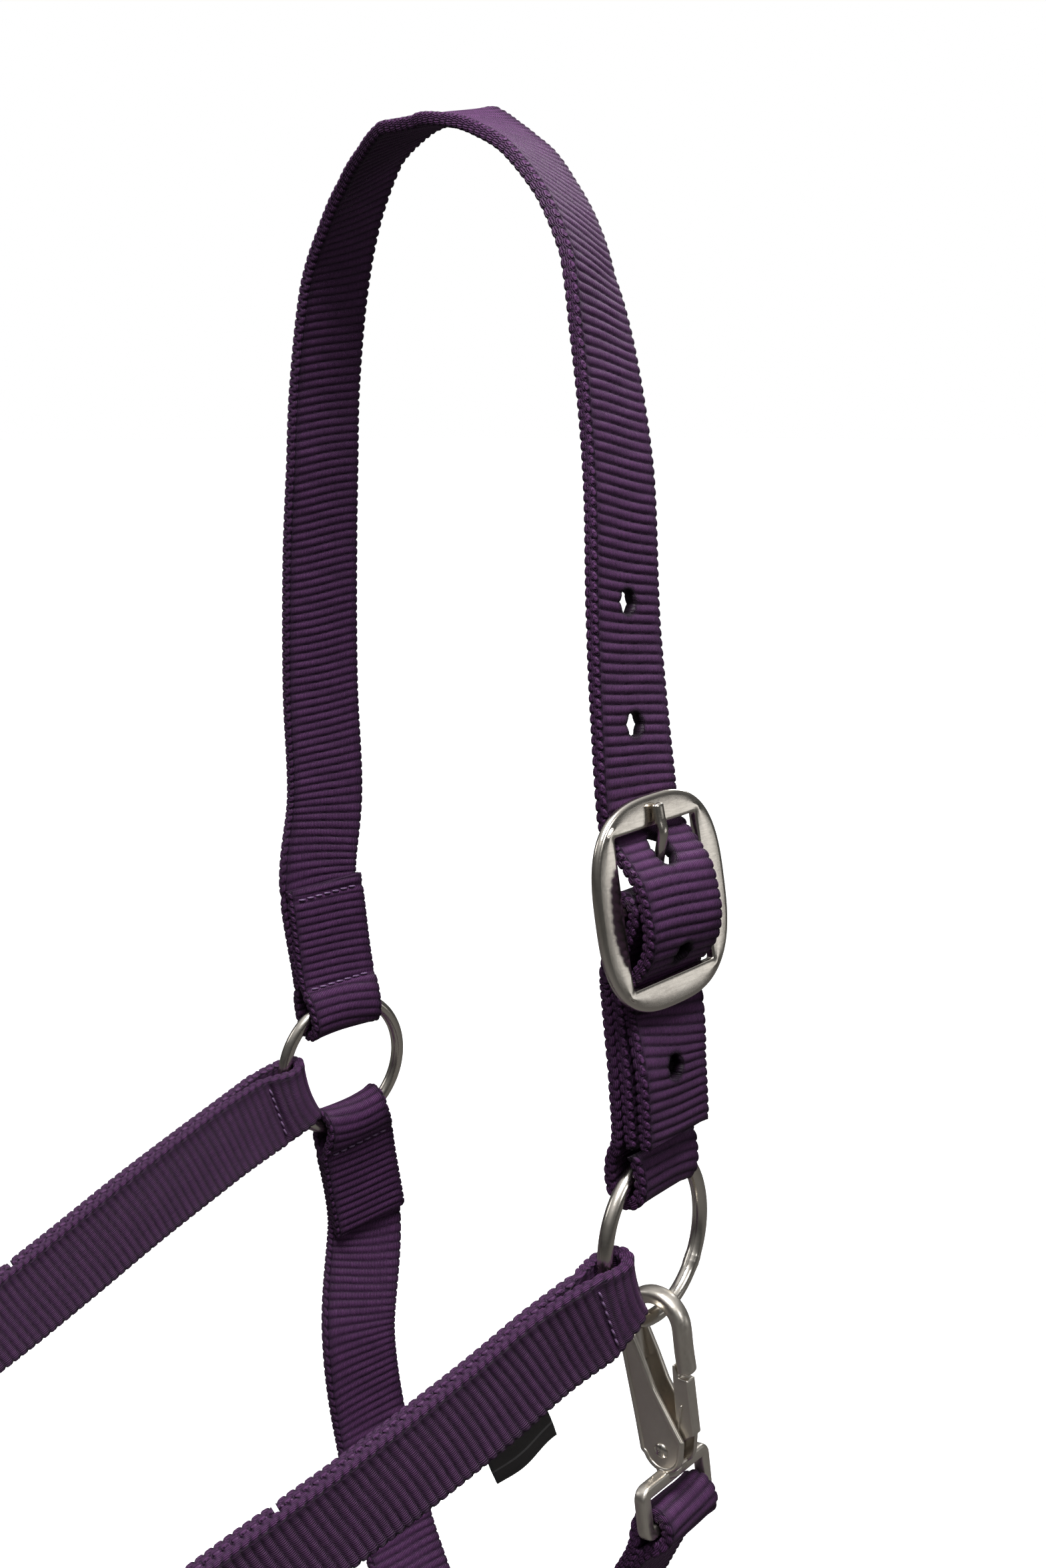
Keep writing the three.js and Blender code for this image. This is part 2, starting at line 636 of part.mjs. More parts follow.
// The sprung lever that closes the hook. It turns on the rivet and folds into the channel.
function snapGate() {
  const outline = new THREE.Shape();
  outline.moveTo(4.4, SNAP_ARCH - 12.6);
  outline.lineTo(8.2, SNAP_ARCH - 13.5);
  outline.lineTo(8.9, 4.5);
  outline.absarc(0, 0, 3.2, 0.35, -Math.PI * 0.75, true);
  outline.absarc(0, 0, 3.2, -Math.PI * 0.75, -Math.PI * 1.5, true);
  outline.lineTo(3.6, 5.5);
  outline.lineTo(4.6, 9);
  const bore = new THREE.CylinderGeometry(GATE_BORE, GATE_BORE, 20, 20).rotateX(Math.PI / 2);
  return placed(cut(extruded(outline, GATE_DEPTH), bore), snap);
}

// A hairpin spring that passes under the rivet, between the lever and the front cheek. One leg
// bears on the spine and the other on the lever.
function snapSpring() {
  const layer = (GATE_DEPTH + SNAP_CHANNEL) / 4;
  const coil = 2.2;
  const points = [vec(-3.2, 13, layer), vec(-coil, 6, layer)];
  for (let degrees = 180; degrees <= 360; degrees += 20) {
    const angle = THREE.MathUtils.degToRad(degrees);
    points.push(vec(coil * Math.cos(angle), coil * Math.sin(angle), layer));
  }
  points.push(vec(4.6, 6, layer), vec(6.2, 12, layer));
  return placed(rod(points, SPRING_WIRE, vec(0, 0, 1)), snap);
}

function snapRivet() {
  const pin = new THREE.CylinderGeometry(RIVET_RADIUS, RIVET_RADIUS, SNAP_BODY_DEPTH + 0.4, 20);
  return placed(pin.rotateX(Math.PI / 2), snap);
}

// ---- The halter ----

const steel = { color: NICKEL, roughness: 0.25, metalness: 1 };
const nylon = { color: PURPLE, roughness: 0.75, metalness: 0 };
const cloth = { color: BLACK, roughness: 0.9, metalness: 0 };

const pieces = {
  crown_strap: [crownStrap(), nylon],
  chape_strap: [chapeStrap(), nylon],
  near_cheek_strap: [nearCheekStrap(), nylon],
  far_cheek_strap: [farCheekStrap(), nylon],
  throat_strap: [throatStrap(), nylon],
  noseband: [noseband(), nylon],
  near_chin_strap: [
    chinStrap(nearSquare, 1, [vec(42, -167, -134), vec(30, -165, -147)]),
    nylon,
  ],
  far_chin_strap: [
    chinStrap(farSquare, -1, [vec(-69, -167, -132), vec(-56, -165, -147)]),
    nylon,
  ],
  jaw_strap: [jawStrap(), nylon],
  label: [label(), cloth],
  near_upper_ring: [roundRing(nearRing, RING_RADIUS, RING_WIRE), steel],
  far_upper_ring: [roundRing(farRing, RING_RADIUS, RING_WIRE), steel],
  lead_ring: [roundRing(leadRing, LEAD_RING_RADIUS, LEAD_RING_WIRE), steel],
  near_square_ring: [squareRing(nearSquare), steel],
  far_square_ring: [squareRing(farSquare), steel],
  buckle_frame: [buckleFrame(), steel],
  buckle_tongue: [buckleTongue(), steel],
  snap_body: [snapBody(), steel],
  snap_gate: [snapGate(), steel],
  snap_rivet: [snapRivet(), steel],
  snap_spring: [snapSpring(), steel],
};

const halter = new THREE.Group();
halter.position.sub(along(poll, [pollOut, -WEB_PLY / 2]));
for (const [name, [geometry, look]] of Object.entries(pieces)) {
  const mesh = new THREE.Mesh(geometry, new THREE.MeshStandardMaterial(look));
  mesh.name = name;
  halter.add(mesh);
}

export default halter;
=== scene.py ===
"""A purple webbing halter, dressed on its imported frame.

Shapes are worked out in millimetres from the midpoint between the two upper rings, and SHIFT moves
them into the row frame, where the origin is the poll. Meshes are stored in metres.
"""

import math

import bpy
import numpy as np
from mathutils import Matrix, Vector


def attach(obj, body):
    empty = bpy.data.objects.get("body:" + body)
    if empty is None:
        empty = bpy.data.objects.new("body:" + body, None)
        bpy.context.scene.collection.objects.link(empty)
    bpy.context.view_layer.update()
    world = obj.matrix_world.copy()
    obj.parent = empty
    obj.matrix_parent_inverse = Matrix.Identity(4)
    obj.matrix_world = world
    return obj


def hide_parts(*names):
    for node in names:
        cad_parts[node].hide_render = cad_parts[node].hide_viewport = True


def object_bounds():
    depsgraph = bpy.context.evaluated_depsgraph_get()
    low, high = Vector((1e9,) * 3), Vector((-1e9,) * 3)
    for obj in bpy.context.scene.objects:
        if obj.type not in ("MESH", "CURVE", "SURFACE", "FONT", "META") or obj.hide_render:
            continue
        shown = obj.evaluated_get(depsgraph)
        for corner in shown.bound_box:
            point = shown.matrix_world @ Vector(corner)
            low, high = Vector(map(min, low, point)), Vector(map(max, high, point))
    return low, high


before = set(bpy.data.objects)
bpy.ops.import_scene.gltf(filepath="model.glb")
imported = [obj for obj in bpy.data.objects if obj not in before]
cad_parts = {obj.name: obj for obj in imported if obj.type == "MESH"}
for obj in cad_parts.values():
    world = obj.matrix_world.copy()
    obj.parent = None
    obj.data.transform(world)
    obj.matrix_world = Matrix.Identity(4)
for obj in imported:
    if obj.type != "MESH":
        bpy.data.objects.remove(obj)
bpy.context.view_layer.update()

MM = 0.001

# Webbing.
WEB_WIDTH = 25.0
PLY = 2.8
PLY_GAP = 0.35
PLY_OFFSET = (PLY + PLY_GAP) / 2
PINCHED = 20.5
LOOP_CLEARANCE = 0.9
RIB_PITCH = 2.3
RIB_HEIGHT = 0.5
RIB_SKEW = -0.08  # the weft doesn't lie quite square
YARN_PITCH = 0.52
STEPS_PER_RIB = 8
EDGE_ROUND = 1.0
EDGE_HALF = 1.65  # the selvedge is thicker than the web between
BEAD_HEIGHT = 0.55
SELVEDGE_FROM = 0.82  # the share of the half width where the selvedge starts to swell
SEAM_PRESS = 0.22  # how deep a seam pulls the web in
SEAM_REACH = 6.0  # a seam presses a ply whose middle is this near
END_THINNING = 0.25

# Hardware.
RING_RADIUS, RING_WIRE = 20.0, 1.85
LEAD_RING_RADIUS, LEAD_RING_WIRE = 21.0, 2.4
SQUARE_INNER, SQUARE_WIRE, SQUARE_CORNER = 31.0, 2.0, 3.5
BUCKLE_HALF_WIDTH, BUCKLE_HALF_HEIGHT = 22.0, 24.7
BUCKLE_THICKNESS = 2.2
WINDOW_WIDTH, WINDOW_HEIGHT = 28.0, 35.0
BAR_RADIUS, BAR_SETBACK = 1.5, 1.2
TONGUE_WIRE = 1.1
HOLE_PITCH = 28.0
HOLE_RADIUS = 2.9
HOLE_STRETCH = 2.6  # how far the tongue has drawn its hole out
HOLE_ABOVE_BAR = 12.5
SLOT_LENGTH = 14.0
EYE_WIDTH, EYE_WIRE, EYE_DROP = 22.0, 1.8, 17.0
EYE_TOP = 6.7
SNAP_ARCH = 31.3
SNAP_HALF_DEPTH = 3.5
HOOK_HALF_DEPTH = 2.2
CHANNEL_HALF = 2.3
GATE_HALF_DEPTH = 1.5
LABEL_WIDTH, LABEL_DROP, LABEL_SHIFT = 17.5, 17.5, -1.0
LABEL_SWING = 24.0
LABEL_CLOTH = 0.22

# Lie of the straps.
POLL_TILT = 0.17
POLL_FLAT = 14.0
SKEW = -0.062  # how far the arch lies askew, per millimetre across


# ---- Vectors and frames ----


def vec(x, y, z):
    return np.array([x, y, z], float)


def unit(v):
    return np.asarray(v, float) / np.linalg.norm(v)


def units(rows):
    return rows / np.linalg.norm(rows, axis=1)[:, None]


def lengths(points):
    """How far along a line of points each one lies."""
    return np.concatenate([[0], np.cumsum(np.linalg.norm(np.diff(points, axis=0), axis=1))])


def turns(count):
    """Angles evenly spaced round a circle."""
    return np.linspace(0, 2 * math.pi, count, endpoint=False)


class Frame:
    """An origin and three unit axes: across (a strap's width), up and out (its thickness)."""

    def __init__(self, origin, out, up_hint=(0, 0, 1)):
        self.origin = np.asarray(origin, float)
        self.out = unit(out)
        hint = np.asarray(up_hint, float)
        self.up = unit(hint - (hint @ self.out) * self.out)
        self.across = np.cross(self.up, self.out)

    def at(self, across, up, out):
        return self.origin + across * self.across + up * self.up + out * self.out

    def turned(self, degrees):
        """Turned about the out axis: the angle is measured from up towards the nose."""
        angle = math.radians(degrees)
        return Frame(self.origin, self.out, math.cos(angle) * self.up - math.sin(angle) * self.across)

    def leaned(self, degrees, height):
        """Leaned about a line across it, at a height above its origin."""
        angle = math.radians(degrees)
        pivot = self.at(0, height, 0)
        up = math.cos(angle) * self.up + math.sin(angle) * self.out
        out = math.cos(angle) * self.out - math.sin(angle) * self.up
        return Frame(pivot - height * up, out, up)

    def reversed(self):
        return Frame(self.origin, -self.out, self.up)

    def place(self, points):
        """Points given as across, up, out."""
        return self.origin + np.asarray(points, float) @ np.array([self.across, self.up, self.out])

    def flat(self, outline, depth=0.0):
        """Points given as across and up, at one depth."""
        return self.place(np.column_stack([outline, np.full(len(outline), depth)]))


near_ring = Frame(vec(71.2, -4.4, 0), (0.978, 0.211, 0.05))
far_ring = Frame(vec(-71.2, 4.4, 0), (0.999, -0.02, -0.04))
buckle = Frame(vec(72, -4.4, 82.5), (0.985, 0.092, 0.136), unit((-0.13, -0.07, 0.99)))
snap = Frame(vec(76.4, -3.3, -52.8), (0.211, -0.977, 0)).turned(7.9)
near_square = Frame(vec(46, -178, -80), (0.976, -0.217, 0), (0, -0.39, 0.92))
far_square = Frame(vec(-72, -180, -76), (1, 0, 0), (0, -0.39, 0.92))
lead_ring = Frame(vec(-13, -164, -152), (0, -0.1, -0.99), (0, 1, 0))
throat_low = vec(-8, 0, -164)
poll = vec(-16, 1, 260)
poll_across = vec(0, math.cos(POLL_TILT), math.sin(POLL_TILT))
poll_out = vec(0, -math.sin(POLL_TILT), math.cos(POLL_TILT))
SHIFT = -(poll - PLY / 2 * poll_out)


# ---- Straps as rows of knots ----


def knot(at, across, width=WEB_WIDTH, bow=(0, 0, 0)):
    """Bow is how far the two edges lie from a straight line across."""
    return np.asarray(at, float), np.asarray(across, float), width, np.asarray(bow, float)


def flipped(knots):
    return [(at, -across, width, bow) for at, across, width, bow in knots]


def narrowed(knots, share):
    """Drawn tight, a strap lies a little narrower."""
    return [(at, across, share * width, bow) for at, across, width, bow in knots]


def fold(where, low, high, half, lap, back=None, shift=0.0, pinched=PINCHED, sag=0.0):
    """Knots of a fold round a bar or wire. Up runs from the hardware out along the strap; the
    hardware fills the heights from low to high and is half thick to each side. The fold's edges
    lie sag nearer the middle of a ring than its middle does."""
    spread = half + LOOP_CLEARANCE + PLY / 2
    centre = low + half
    closed = high + 4.5

    def at(height, out, width=WEB_WIDTH, bow=0.0):
        return knot(where.at(shift, height, out), where.across, width, -bow * where.up)

    def leg(side, end):
        knots = [at(end, side * (PLY_OFFSET if end > closed else PLY_OFFSET + 1))]
        if end > closed + 5:
            knots.append(at(closed, side * PLY_OFFSET))
        return knots + [at(high + 1, side * (spread - 0.7), (WEB_WIDTH + pinched) / 2, sag / 2)]

    bend = []
    for degrees in (90, 45, 0, -45, -90):
        angle = math.radians(degrees)
        bend.append(at(centre - spread * math.cos(angle), spread * math.sin(angle), pinched, sag))
    return leg(1, lap) + bend + leg(-1, lap if back is None else back)[::-1]


def ring_space(radius, wire, shift=0.0, pinched=PINCHED, give=0.5, **options):
    """The space a round ring takes inside a fold. Give is how far the fold follows the wire."""
    inside = radius - wire
    corner = math.sqrt(inside**2 - (pinched / 2 + abs(shift)) ** 2)
    sag = (inside - corner) * give
    space = dict(low=corner + sag, high=radius + wire, half=wire, sag=sag)
    return dict(shift=shift, pinched=pinched, **space, **options)


def square_space(**options):
    side = SQUARE_INNER / 2 + SQUARE_WIRE
    space = dict(low=side - SQUARE_WIRE, high=side + SQUARE_WIRE, half=SQUARE_WIRE)
    return {**space, "pinched": WEB_WIDTH - 1.5, **options}


def lapped(start, middle, end):
    return start[::-1] + middle + flipped(end)


def doubled(start, middle, end):
    """One length folded round a fitting at each end. Its cut ends meet on the inner side, near the
    second fitting."""
    places = []
    for i, (at, out) in enumerate(middle):
        ahead = middle[min(i + 1, len(middle) - 1)][0] - middle[max(i - 1, 0)][0]
        places.append((at, out, unit(np.cross(ahead, out))))
    plies = {s: [knot(at + s * PLY_OFFSET * out, across) for at, out, across in places] for s in (1, -1)}
    inner = plies[-1][::-1]

    def meeting(share):
        return knot(inner[0][0] * (1 - share) + inner[1][0] * share, inner[0][1])

    around = start[::-1] + plies[1] + flipped(end)
    return [meeting(0.52)] + inner[1:] + around + [inner[0], meeting(0.48)]


BEHIND_PLATE = -(BUCKLE_THICKNESS / 2 + PLY_GAP + PLY / 2)
OVER_BAR = -BAR_SETBACK + BAR_RADIUS + 2 * PLY_GAP + 1.5 * PLY


def on_buckle(up, out):
    return knot(buckle.at(0, up, out), buckle.across)


crown_lap = far_ring.turned(4).leaned(-8, RING_RADIUS - 2)


def crown_knots():
    """Over the arch the strap twists: its rear edge stands out on the far side, in on the near."""
    near_across = unit((-0.2, 0.98, 0.02))
    lap = ring_space(RING_RADIUS, RING_WIRE, lap=56, pinched=WEB_WIDTH - 2, give=0.2)

    def arch(*places):
        return [knot((x, SKEW * x, z), unit((across_x, 1, across_z))) for x, z, across_x, across_z in places]

    far_leg = arch(
        (-77.5, 80, -0.02, 0.1),
        (-78.5, 112, -0.04, 0.06),
        (-77, 150, -0.08, 0.04),
        (-74.6, 175, -0.15, 0),
        (-72.4, 196, -0.19, 0.03),
        (-65.5, 224, -0.23, 0.1),
        (-57.5, 238.4, -0.29, 0.24),
        (-46.8, 250.5, -0.27, 0.36),
        (-34, 257.4, -0.14, 0.3),
    )
    near_leg = arch(
        (0, 257.8, 0, 0.02),
        (9.4, 254.6, -0.04, -0.11),
        (16.5, 251.4, -0.07, -0.17),
        (25.3, 245.7, -0.16, -0.28),
        (36.5, 234.8, -0.32, -0.28),
        (43.5, 223, -0.43, -0.23),
        (48.9, 207, -0.33, -0.1),
        (55, 179, -0.24, -0.03),
    )
    through_buckle = [
        (27, BEHIND_PLATE - 0.5),
        (19.5, BEHIND_PLATE - 0.8),
        (16.6, BEHIND_PLATE + 0.1),
        (13, -0.3),
        (9.5, 2.3),
        (6, 4.4),
        (0, OVER_BAR + 0.2),
        (-5, OVER_BAR + 0.3),
        (-10.5, 3.8),
        (-14.2, 0.5),
        (-17, BEHIND_PLATE + 0.1),
        (-20, BEHIND_PLATE - 0.6),
        (-26, BEHIND_PLATE - 0.6),
    ]
    return (
        fold(crown_lap, **lap)
        + far_leg
        + [knot(poll + vec(end * POLL_FLAT / 2, 0, 0), poll_across) for end in (-1, -0.5, 0.5, 1)]
        + near_leg
        + [knot((59.8, -5.6, 143), near_across)]
        + [on_buckle(up, out) for up, out in through_buckle]
        + [knot(at, near_across) for at in ((75.2, -3.7, 44), (76.6, -3.4, 27))]
    )


def chape_knots():
    """Its cut ends meet on the outer side, just above the ring and under the crown strap's tail."""
    ring = ring_space(RING_RADIUS, RING_WIRE, lap=24.5, back=42, pinched=WEB_WIDTH - 2, give=0.15)
    spread = BAR_RADIUS + PLY_GAP + PLY / 2
    around = []
    for degrees in (180, 135, 90, 45, 0):
        angle = math.radians(degrees)
        around.append(on_buckle(spread * math.sin(angle), spread * math.cos(angle) - BAR_SETBACK))
    front = BEHIND_PLATE - 0.8 - 2 * PLY_OFFSET
    back_leg = [
        on_buckle(-19, front - 2 * PLY_OFFSET),
        on_buckle(-14, front - 2 * PLY_OFFSET + 0.8),
        on_buckle(-7, -BAR_SETBACK - spread - 1.4),
    ]
    front_leg = [on_buckle(-7.5, -1.7), on_buckle(-14.5, front + 0.4), on_buckle(-19, front)]
    front_leg += [
        knot(near_ring.at(0, 42, PLY_OFFSET), near_ring.across),
        knot(near_ring.at(0, 26, PLY_OFFSET + 1), near_ring.across),
    ]
    return fold(near_ring, **ring) + back_leg + around + front_leg


near_cheek_path = [
    (vec(x, y, z), unit((0.98, lean, 0)))
    for x, y, z, lean in (
        (74, -40.3, -16.2, -0.15),
        (71.2, -54, -24, -0.19),
        (68, -69.7, -32, -0.2),
        (64.3, -87.5, -40.6, -0.2),
        (59, -112, -51.5, -0.2),
    )
]
far_cheek_path = [
    (vec(-71.5, y, z), vec(1, 0, 0))
    for y, z in ((-34, -13.4), (-46, -18.4), (-64, -26.2), (-86, -36.6), (-108, -46.5))
]
near_cheek_end, far_cheek_end = near_ring.turned(108), far_ring.turned(109)


def cheek_knots(end, path, square, share, **options):
    ring = ring_space(RING_RADIUS, RING_WIRE, lap=26, **options)
    corner = fold(square.turned(-90), **square_space(lap=40))
    return narrowed(doubled(fold(end, **ring), path, corner), share)


def noseband_knots():
    over_nose = [(40, -204, -20), (20, -210, -5), (-13, -212, 1), (-46, -211, -3), (-65, -206, -18)]
    return lapped(
        fold(near_square, **square_space(lap=52)),
        [knot(at, (0, 0.92, 0.39)) for at in over_nose],
        fold(far_square.reversed(), **square_space(lap=50)),
    )


def chin_knots(square, side, bends):
    outer = square if side > 0 else square.reversed()
    ring = ring_space(LEAD_RING_RADIUS, LEAD_RING_WIRE, lap=36)
    return lapped(
        fold(outer.turned(180), **square_space(lap=34)),
        [knot(at, (0, -side, -0.2 * side)) for at in bends],
        fold(lead_ring.turned(side * 100), **ring),
    )


def jaw_knots():
    throat = Frame(throat_low, lead_ring.out, (0, -1, -0.05))
    passing = WEB_WIDTH / 2 + 0.8
    space = dict(low=-passing, high=passing, half=PLY / 2, pinched=WEB_WIDTH, lap=40)
    path = [(vec(-12, -108, -157), lead_ring.out), (vec(-11, -88, -159.5), lead_ring.out)]
    path.append((vec(-10, -66, -161.5), lead_ring.out))
    ring = ring_space(LEAD_RING_RADIUS, LEAD_RING_WIRE, lap=38)
    return doubled(fold(lead_ring, **ring), path, fold(throat, **space))


def throat_knots():
    across = vec(0, -1, 0)
    low_across = np.cross(lead_ring.out, (1, 0, 0))
    hang = unit((-0.44, -0.095, -0.9))
    eye = Frame(snap.at(0, -EYE_DROP, 0), np.cross(hang, snap.out), hang)
    bar = dict(low=-EYE_WIRE, high=EYE_WIRE, half=EYE_WIRE, lap=30, back=42, pinched=EYE_WIDTH - 1.2)
    ring = ring_space(RING_RADIUS, RING_WIRE, lap=54)
    down = [(-64.5, 3.9, -85), (-58, 3.6, -115), (-45, 2.7, -140), (-33, 1.5, -155)]
    return (
        fold(far_ring.turned(190), **ring)
        + [knot(at, across) for at in down]
        + [knot(throat_low + vec(x, 0, 1), low_across) for x in (-16, -8, 8, 16)]
        + [knot(at, across) for at in ((22, -1.5, -157), (40, -3, -139), (53, -4, -119))]
        + flipped(fold(eye, **bar))
    )


# ---- Meshes ----


def centre_line(knots):
    """Evenly spaced places along a centripetal Catmull-Rom curve through the knots."""
    at = np.array([k[0] for k in knots])
    ends = np.vstack([2 * at[0] - at[1], at, 2 * at[-1] - at[-2]])
    share = np.linspace(0, 1, 40, endpoint=False)[:, None]
    rows = []
    for i in range(len(at) - 1):
        p0, p1, p2, p3 = ends[i : i + 4]
        d0, d1, d2 = (max(np.linalg.norm(b - a), 1e-6) ** 0.5 for a, b in ((p0, p1), (p1, p2), (p2, p3)))
        m1 = ((p1 - p0) / d0 - (p2 - p0) / (d0 + d1) + (p2 - p1) / d1) * d1
        m2 = ((p2 - p1) / d1 - (p3 - p1) / (d1 + d2) + (p3 - p2) / d2) * d1
        t2, t3 = share**2, share**3
        place = (2 * t3 - 3 * t2 + 1) * p1 + (t3 - 2 * t2 + share) * m1
        place += (3 * t2 - 2 * t3) * p2 + (t3 - t2) * m2
        across = knots[i][1] * (1 - share) + knots[i + 1][1] * share
        width = knots[i][2] * (1 - share) + knots[i + 1][2] * share
        bow = knots[i][3] * (1 - share) + knots[i + 1][3] * share
        rows.append(np.hstack([place, across, width, bow]))
    rows.append(np.hstack([at[-1], knots[-1][1], knots[-1][2], knots[-1][3]])[None])
    rows = np.vstack(rows)
    length = lengths(rows[:, :3])
    count = int(length[-1] / RIB_PITCH) * STEPS_PER_RIB
    along = np.linspace(0, length[-1], count + 1)
    even = np.column_stack([np.interp(along, length, column) for column in rows.T])
    return along, even[:, :3], even[:, 3:6], even[:, 6], even[:, 7:]


def grid_faces(sections, around, closed):
    """Quads over sections that are each a closed row of points."""
    rows = np.arange(sections if closed else sections - 1)[:, None] * around
    columns = np.arange(around)[None]
    ahead = (columns + 1) % around
    over = (rows + around) % (sections * around)
    return np.stack([rows + columns, rows + ahead, over + ahead, over + columns], -1).reshape(-1, 4)


def quads_of(grid):
    """Quads over an open grid of point numbers."""
    return np.stack([grid[:-1, :-1], grid[:-1, 1:], grid[1:, 1:], grid[1:, :-1]], -1)


def outward(points, faces):
    """The faces turned so that the closed mesh has a positive volume."""
    corners = points[faces[:, :3]]
    volume = np.einsum("ij,ij->i", corners[:, 0], np.cross(corners[:, 1], corners[:, 2])).sum()
    return faces if volume > 0 else faces[:, ::-1]


def make_object(name, points, faces, look, body, node=None, values=None):
    """A mesh object from points in millimetres, standing in for a CAD node if one is named. Values
    holds one number per point by name."""
    mesh = bpy.data.meshes.new(name)
    places = (np.asarray(points) + SHIFT) * MM
    mesh.from_pydata(places.tolist(), [], [list(map(int, face)) for face in faces])
    for key, numbers in (values or {}).items():
        mesh.attributes.new(key, "FLOAT", "POINT").data.foreach_set("value", np.float32(numbers))
    mesh.shade_smooth()
    mesh.materials.append(look)
    made = bpy.data.objects.new(name, mesh)
    bpy.context.scene.collection.objects.link(made)
    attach(made, body)
    if node:
        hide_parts(node)
    return made


def sweep(sections, closed):
    """Points and faces of a tube, with its two ends filled if it isn't closed."""
    sections = np.asarray(sections)
    count, around = sections.shape[:2]
    points = sections.reshape(-1, 3)
    faces = outward(points, grid_faces(count, around, closed)).tolist()
    if not closed:
        first = list(range(around))
        last = list(range((count - 1) * around, count * around))
        # A cap runs against the quad beside it.
        quad = faces[0]
        forward = any(quad[k] == 0 and quad[(k + 1) % 4] == 1 for k in range(4))
        faces += [first[::-1], last] if forward else [first, last[::-1]]
    return points, faces


# ---- Webbing ----


def bead_relief(along, height):
    """The selvedge: two rows of slanting loops, half a pitch apart."""
    best = np.zeros(np.broadcast(along, height).shape)
    for row, side in enumerate((1, -1)):
        forward = ((along / RIB_PITCH + 0.5 * row) % 1 - 0.5) * RIB_PITCH
        above = height - side * EDGE_HALF / 2
        slant = math.radians(35) * side
        a = forward * math.cos(slant) + above * math.sin(slant)
        b = above * math.cos(slant) - forward * math.sin(slant)
        loop = np.sqrt(np.clip(1 - (a / 1.3) ** 2 - (b / (EDGE_HALF / 2)) ** 2, 0, 1))
        best = np.maximum(best, loop - 0.35 * np.exp(-((a / 0.5) ** 2) - (b / 0.3) ** 2))
    return best


def rib_relief(along):
    share = (along / RIB_PITCH) % 1
    return (np.sqrt(1 - 0.94 * (2 * share - 1) ** 2) - 0.245) / 0.755


EDGE_POINTS = 9


def profile(fine):
    """The outline of a section: for each point its share of the half width on the face or the
    angle on the edge, going once round."""
    if fine:
        shares = np.concatenate([np.linspace(-0.8, -0.34, 4)[:-1], np.linspace(-0.34, 0.34, 17)])
        shares = np.concatenate([shares, np.linspace(0.34, 0.8, 4)[1:]])
    else:
        shares = np.linspace(-0.8, 0.8, 7)
    shares = np.concatenate([[-1, -0.95, -0.89], shares, [0.89, 0.95, 1]])
    angles = np.radians(np.linspace(90, -90, EDGE_POINTS + 2)[1:-1])
    edge = np.ones(EDGE_POINTS)
    face = np.concatenate([shares, edge, shares[::-1], -edge])
    blank = np.full(len(shares), math.pi / 2)
    angle = np.concatenate([blank, angles, -blank, angles[::-1]])
    on_edge = np.concatenate([0 * shares, edge, 0 * shares, edge]) > 0
    return face, angle, on_edge, len(shares)


def web_surface(knots, seams, fine, singed):
    """Points and per-point values of a strap's surface, as arrays of section by outline. Singed is
    how black its cut ends are."""
    along, place, across, width, bow = centre_line(knots)
    tangent = units(np.gradient(place, axis=0))
    across = units(across - np.einsum("ij,ij->i", across, tangent)[:, None] * tangent)
    out = np.cross(tangent, across)
    face, angle, on_edge = profile(fine)[:3]
    flat_half = (width / 2 - EDGE_ROUND)[:, None]
    s = along[:, None]
    web = PLY / 2 - RIB_HEIGHT + 0.1
    rise = np.clip((np.abs(face) - SELVEDGE_FROM) / (1 - SELVEDGE_FROM), 0, 1)[None]
    half = web + (EDGE_HALF - BEAD_HEIGHT * 0.5 - web) * rise**2 * (3 - 2 * rise)
    cosine, sine = np.cos(angle)[None], np.sin(angle)[None]
    skew = RIB_SKEW * face * width[:, None] / 2 + 0.25 * np.sin(face * 2.1 + 0.05 * s)
    ribs = rib_relief(s + skew)
    ribs = ribs * (1 + 0.12 * np.sin(0.9 * s + 3 * face) * np.sin(0.37 * s))
    beads = bead_relief(s + np.where(face > 0, 0.9, 0), sine * EDGE_HALF)
    relief = np.where(on_edge[None], beads, ribs * (1 - 0.5 * rise))
    press = np.zeros_like(along)
    seam_places = []
    for seam in seams:
        distance = np.linalg.norm(place - seam, axis=1)
        dips = (distance[1:-1] < distance[:-2]) & (distance[1:-1] <= distance[2:])
        for i in np.nonzero(dips & (distance[1:-1] < SEAM_REACH))[0] + 1:
            press += np.exp(-(((along - along[i]) / 1.0) ** 2))
            away = 1 if (place[i] - seam) @ out[i] > 0 else -1
            seam_places.append((place[i], across[i], away * out[i], tangent[i], width[i]))
    press = np.clip(press, 0, 1)[:, None]
    ends = np.minimum(along, along[-1] - along)[:, None]
    thin = 1 - END_THINNING * np.exp(-((ends / 1.2) ** 2))
    lift = np.where(on_edge[None], BEAD_HEIGHT, RIB_HEIGHT) * relief * (1 - 0.7 * press)
    lift = lift - SEAM_PRESS * press * np.abs(sine)
    side = np.sign(face)[None]
    edge_reach = EDGE_ROUND - BEAD_HEIGHT * 0.55
    a = np.where(
        on_edge[None],
        side * (flat_half + edge_reach * np.abs(cosine) ** 0.7 + lift * np.abs(cosine)),
        face[None] * flat_half,
    )
    h = np.sign(sine) * half * np.abs(sine) ** 0.6 + lift * sine
    h = np.where(on_edge[None], h, np.sign(sine) * (half + lift)) * thin
    points = place[:, None] + a[..., None] * across[:, None] + h[..., None] * out[:, None]
    points = points + ((a / (WEB_WIDTH / 2)) ** 2)[..., None] * bow[:, None]
    melt = singed * np.exp(-((ends / 0.9) ** 4)) * np.ones_like(a)
    # The relief value also drives painted shade in the webbing's colour, darker where it is low.
    values = {
        "relief": relief,
        "along": s + skew,
        "side": a + np.where(on_edge[None], h * side, 0),
        "melt": melt,
    }
    return points, values, seam_places, (along, place, across, tangent, out, width)


STITCH_LENGTH, STITCH_RADIUS, STITCH_PITCH = 2.3, 0.3, 2.85
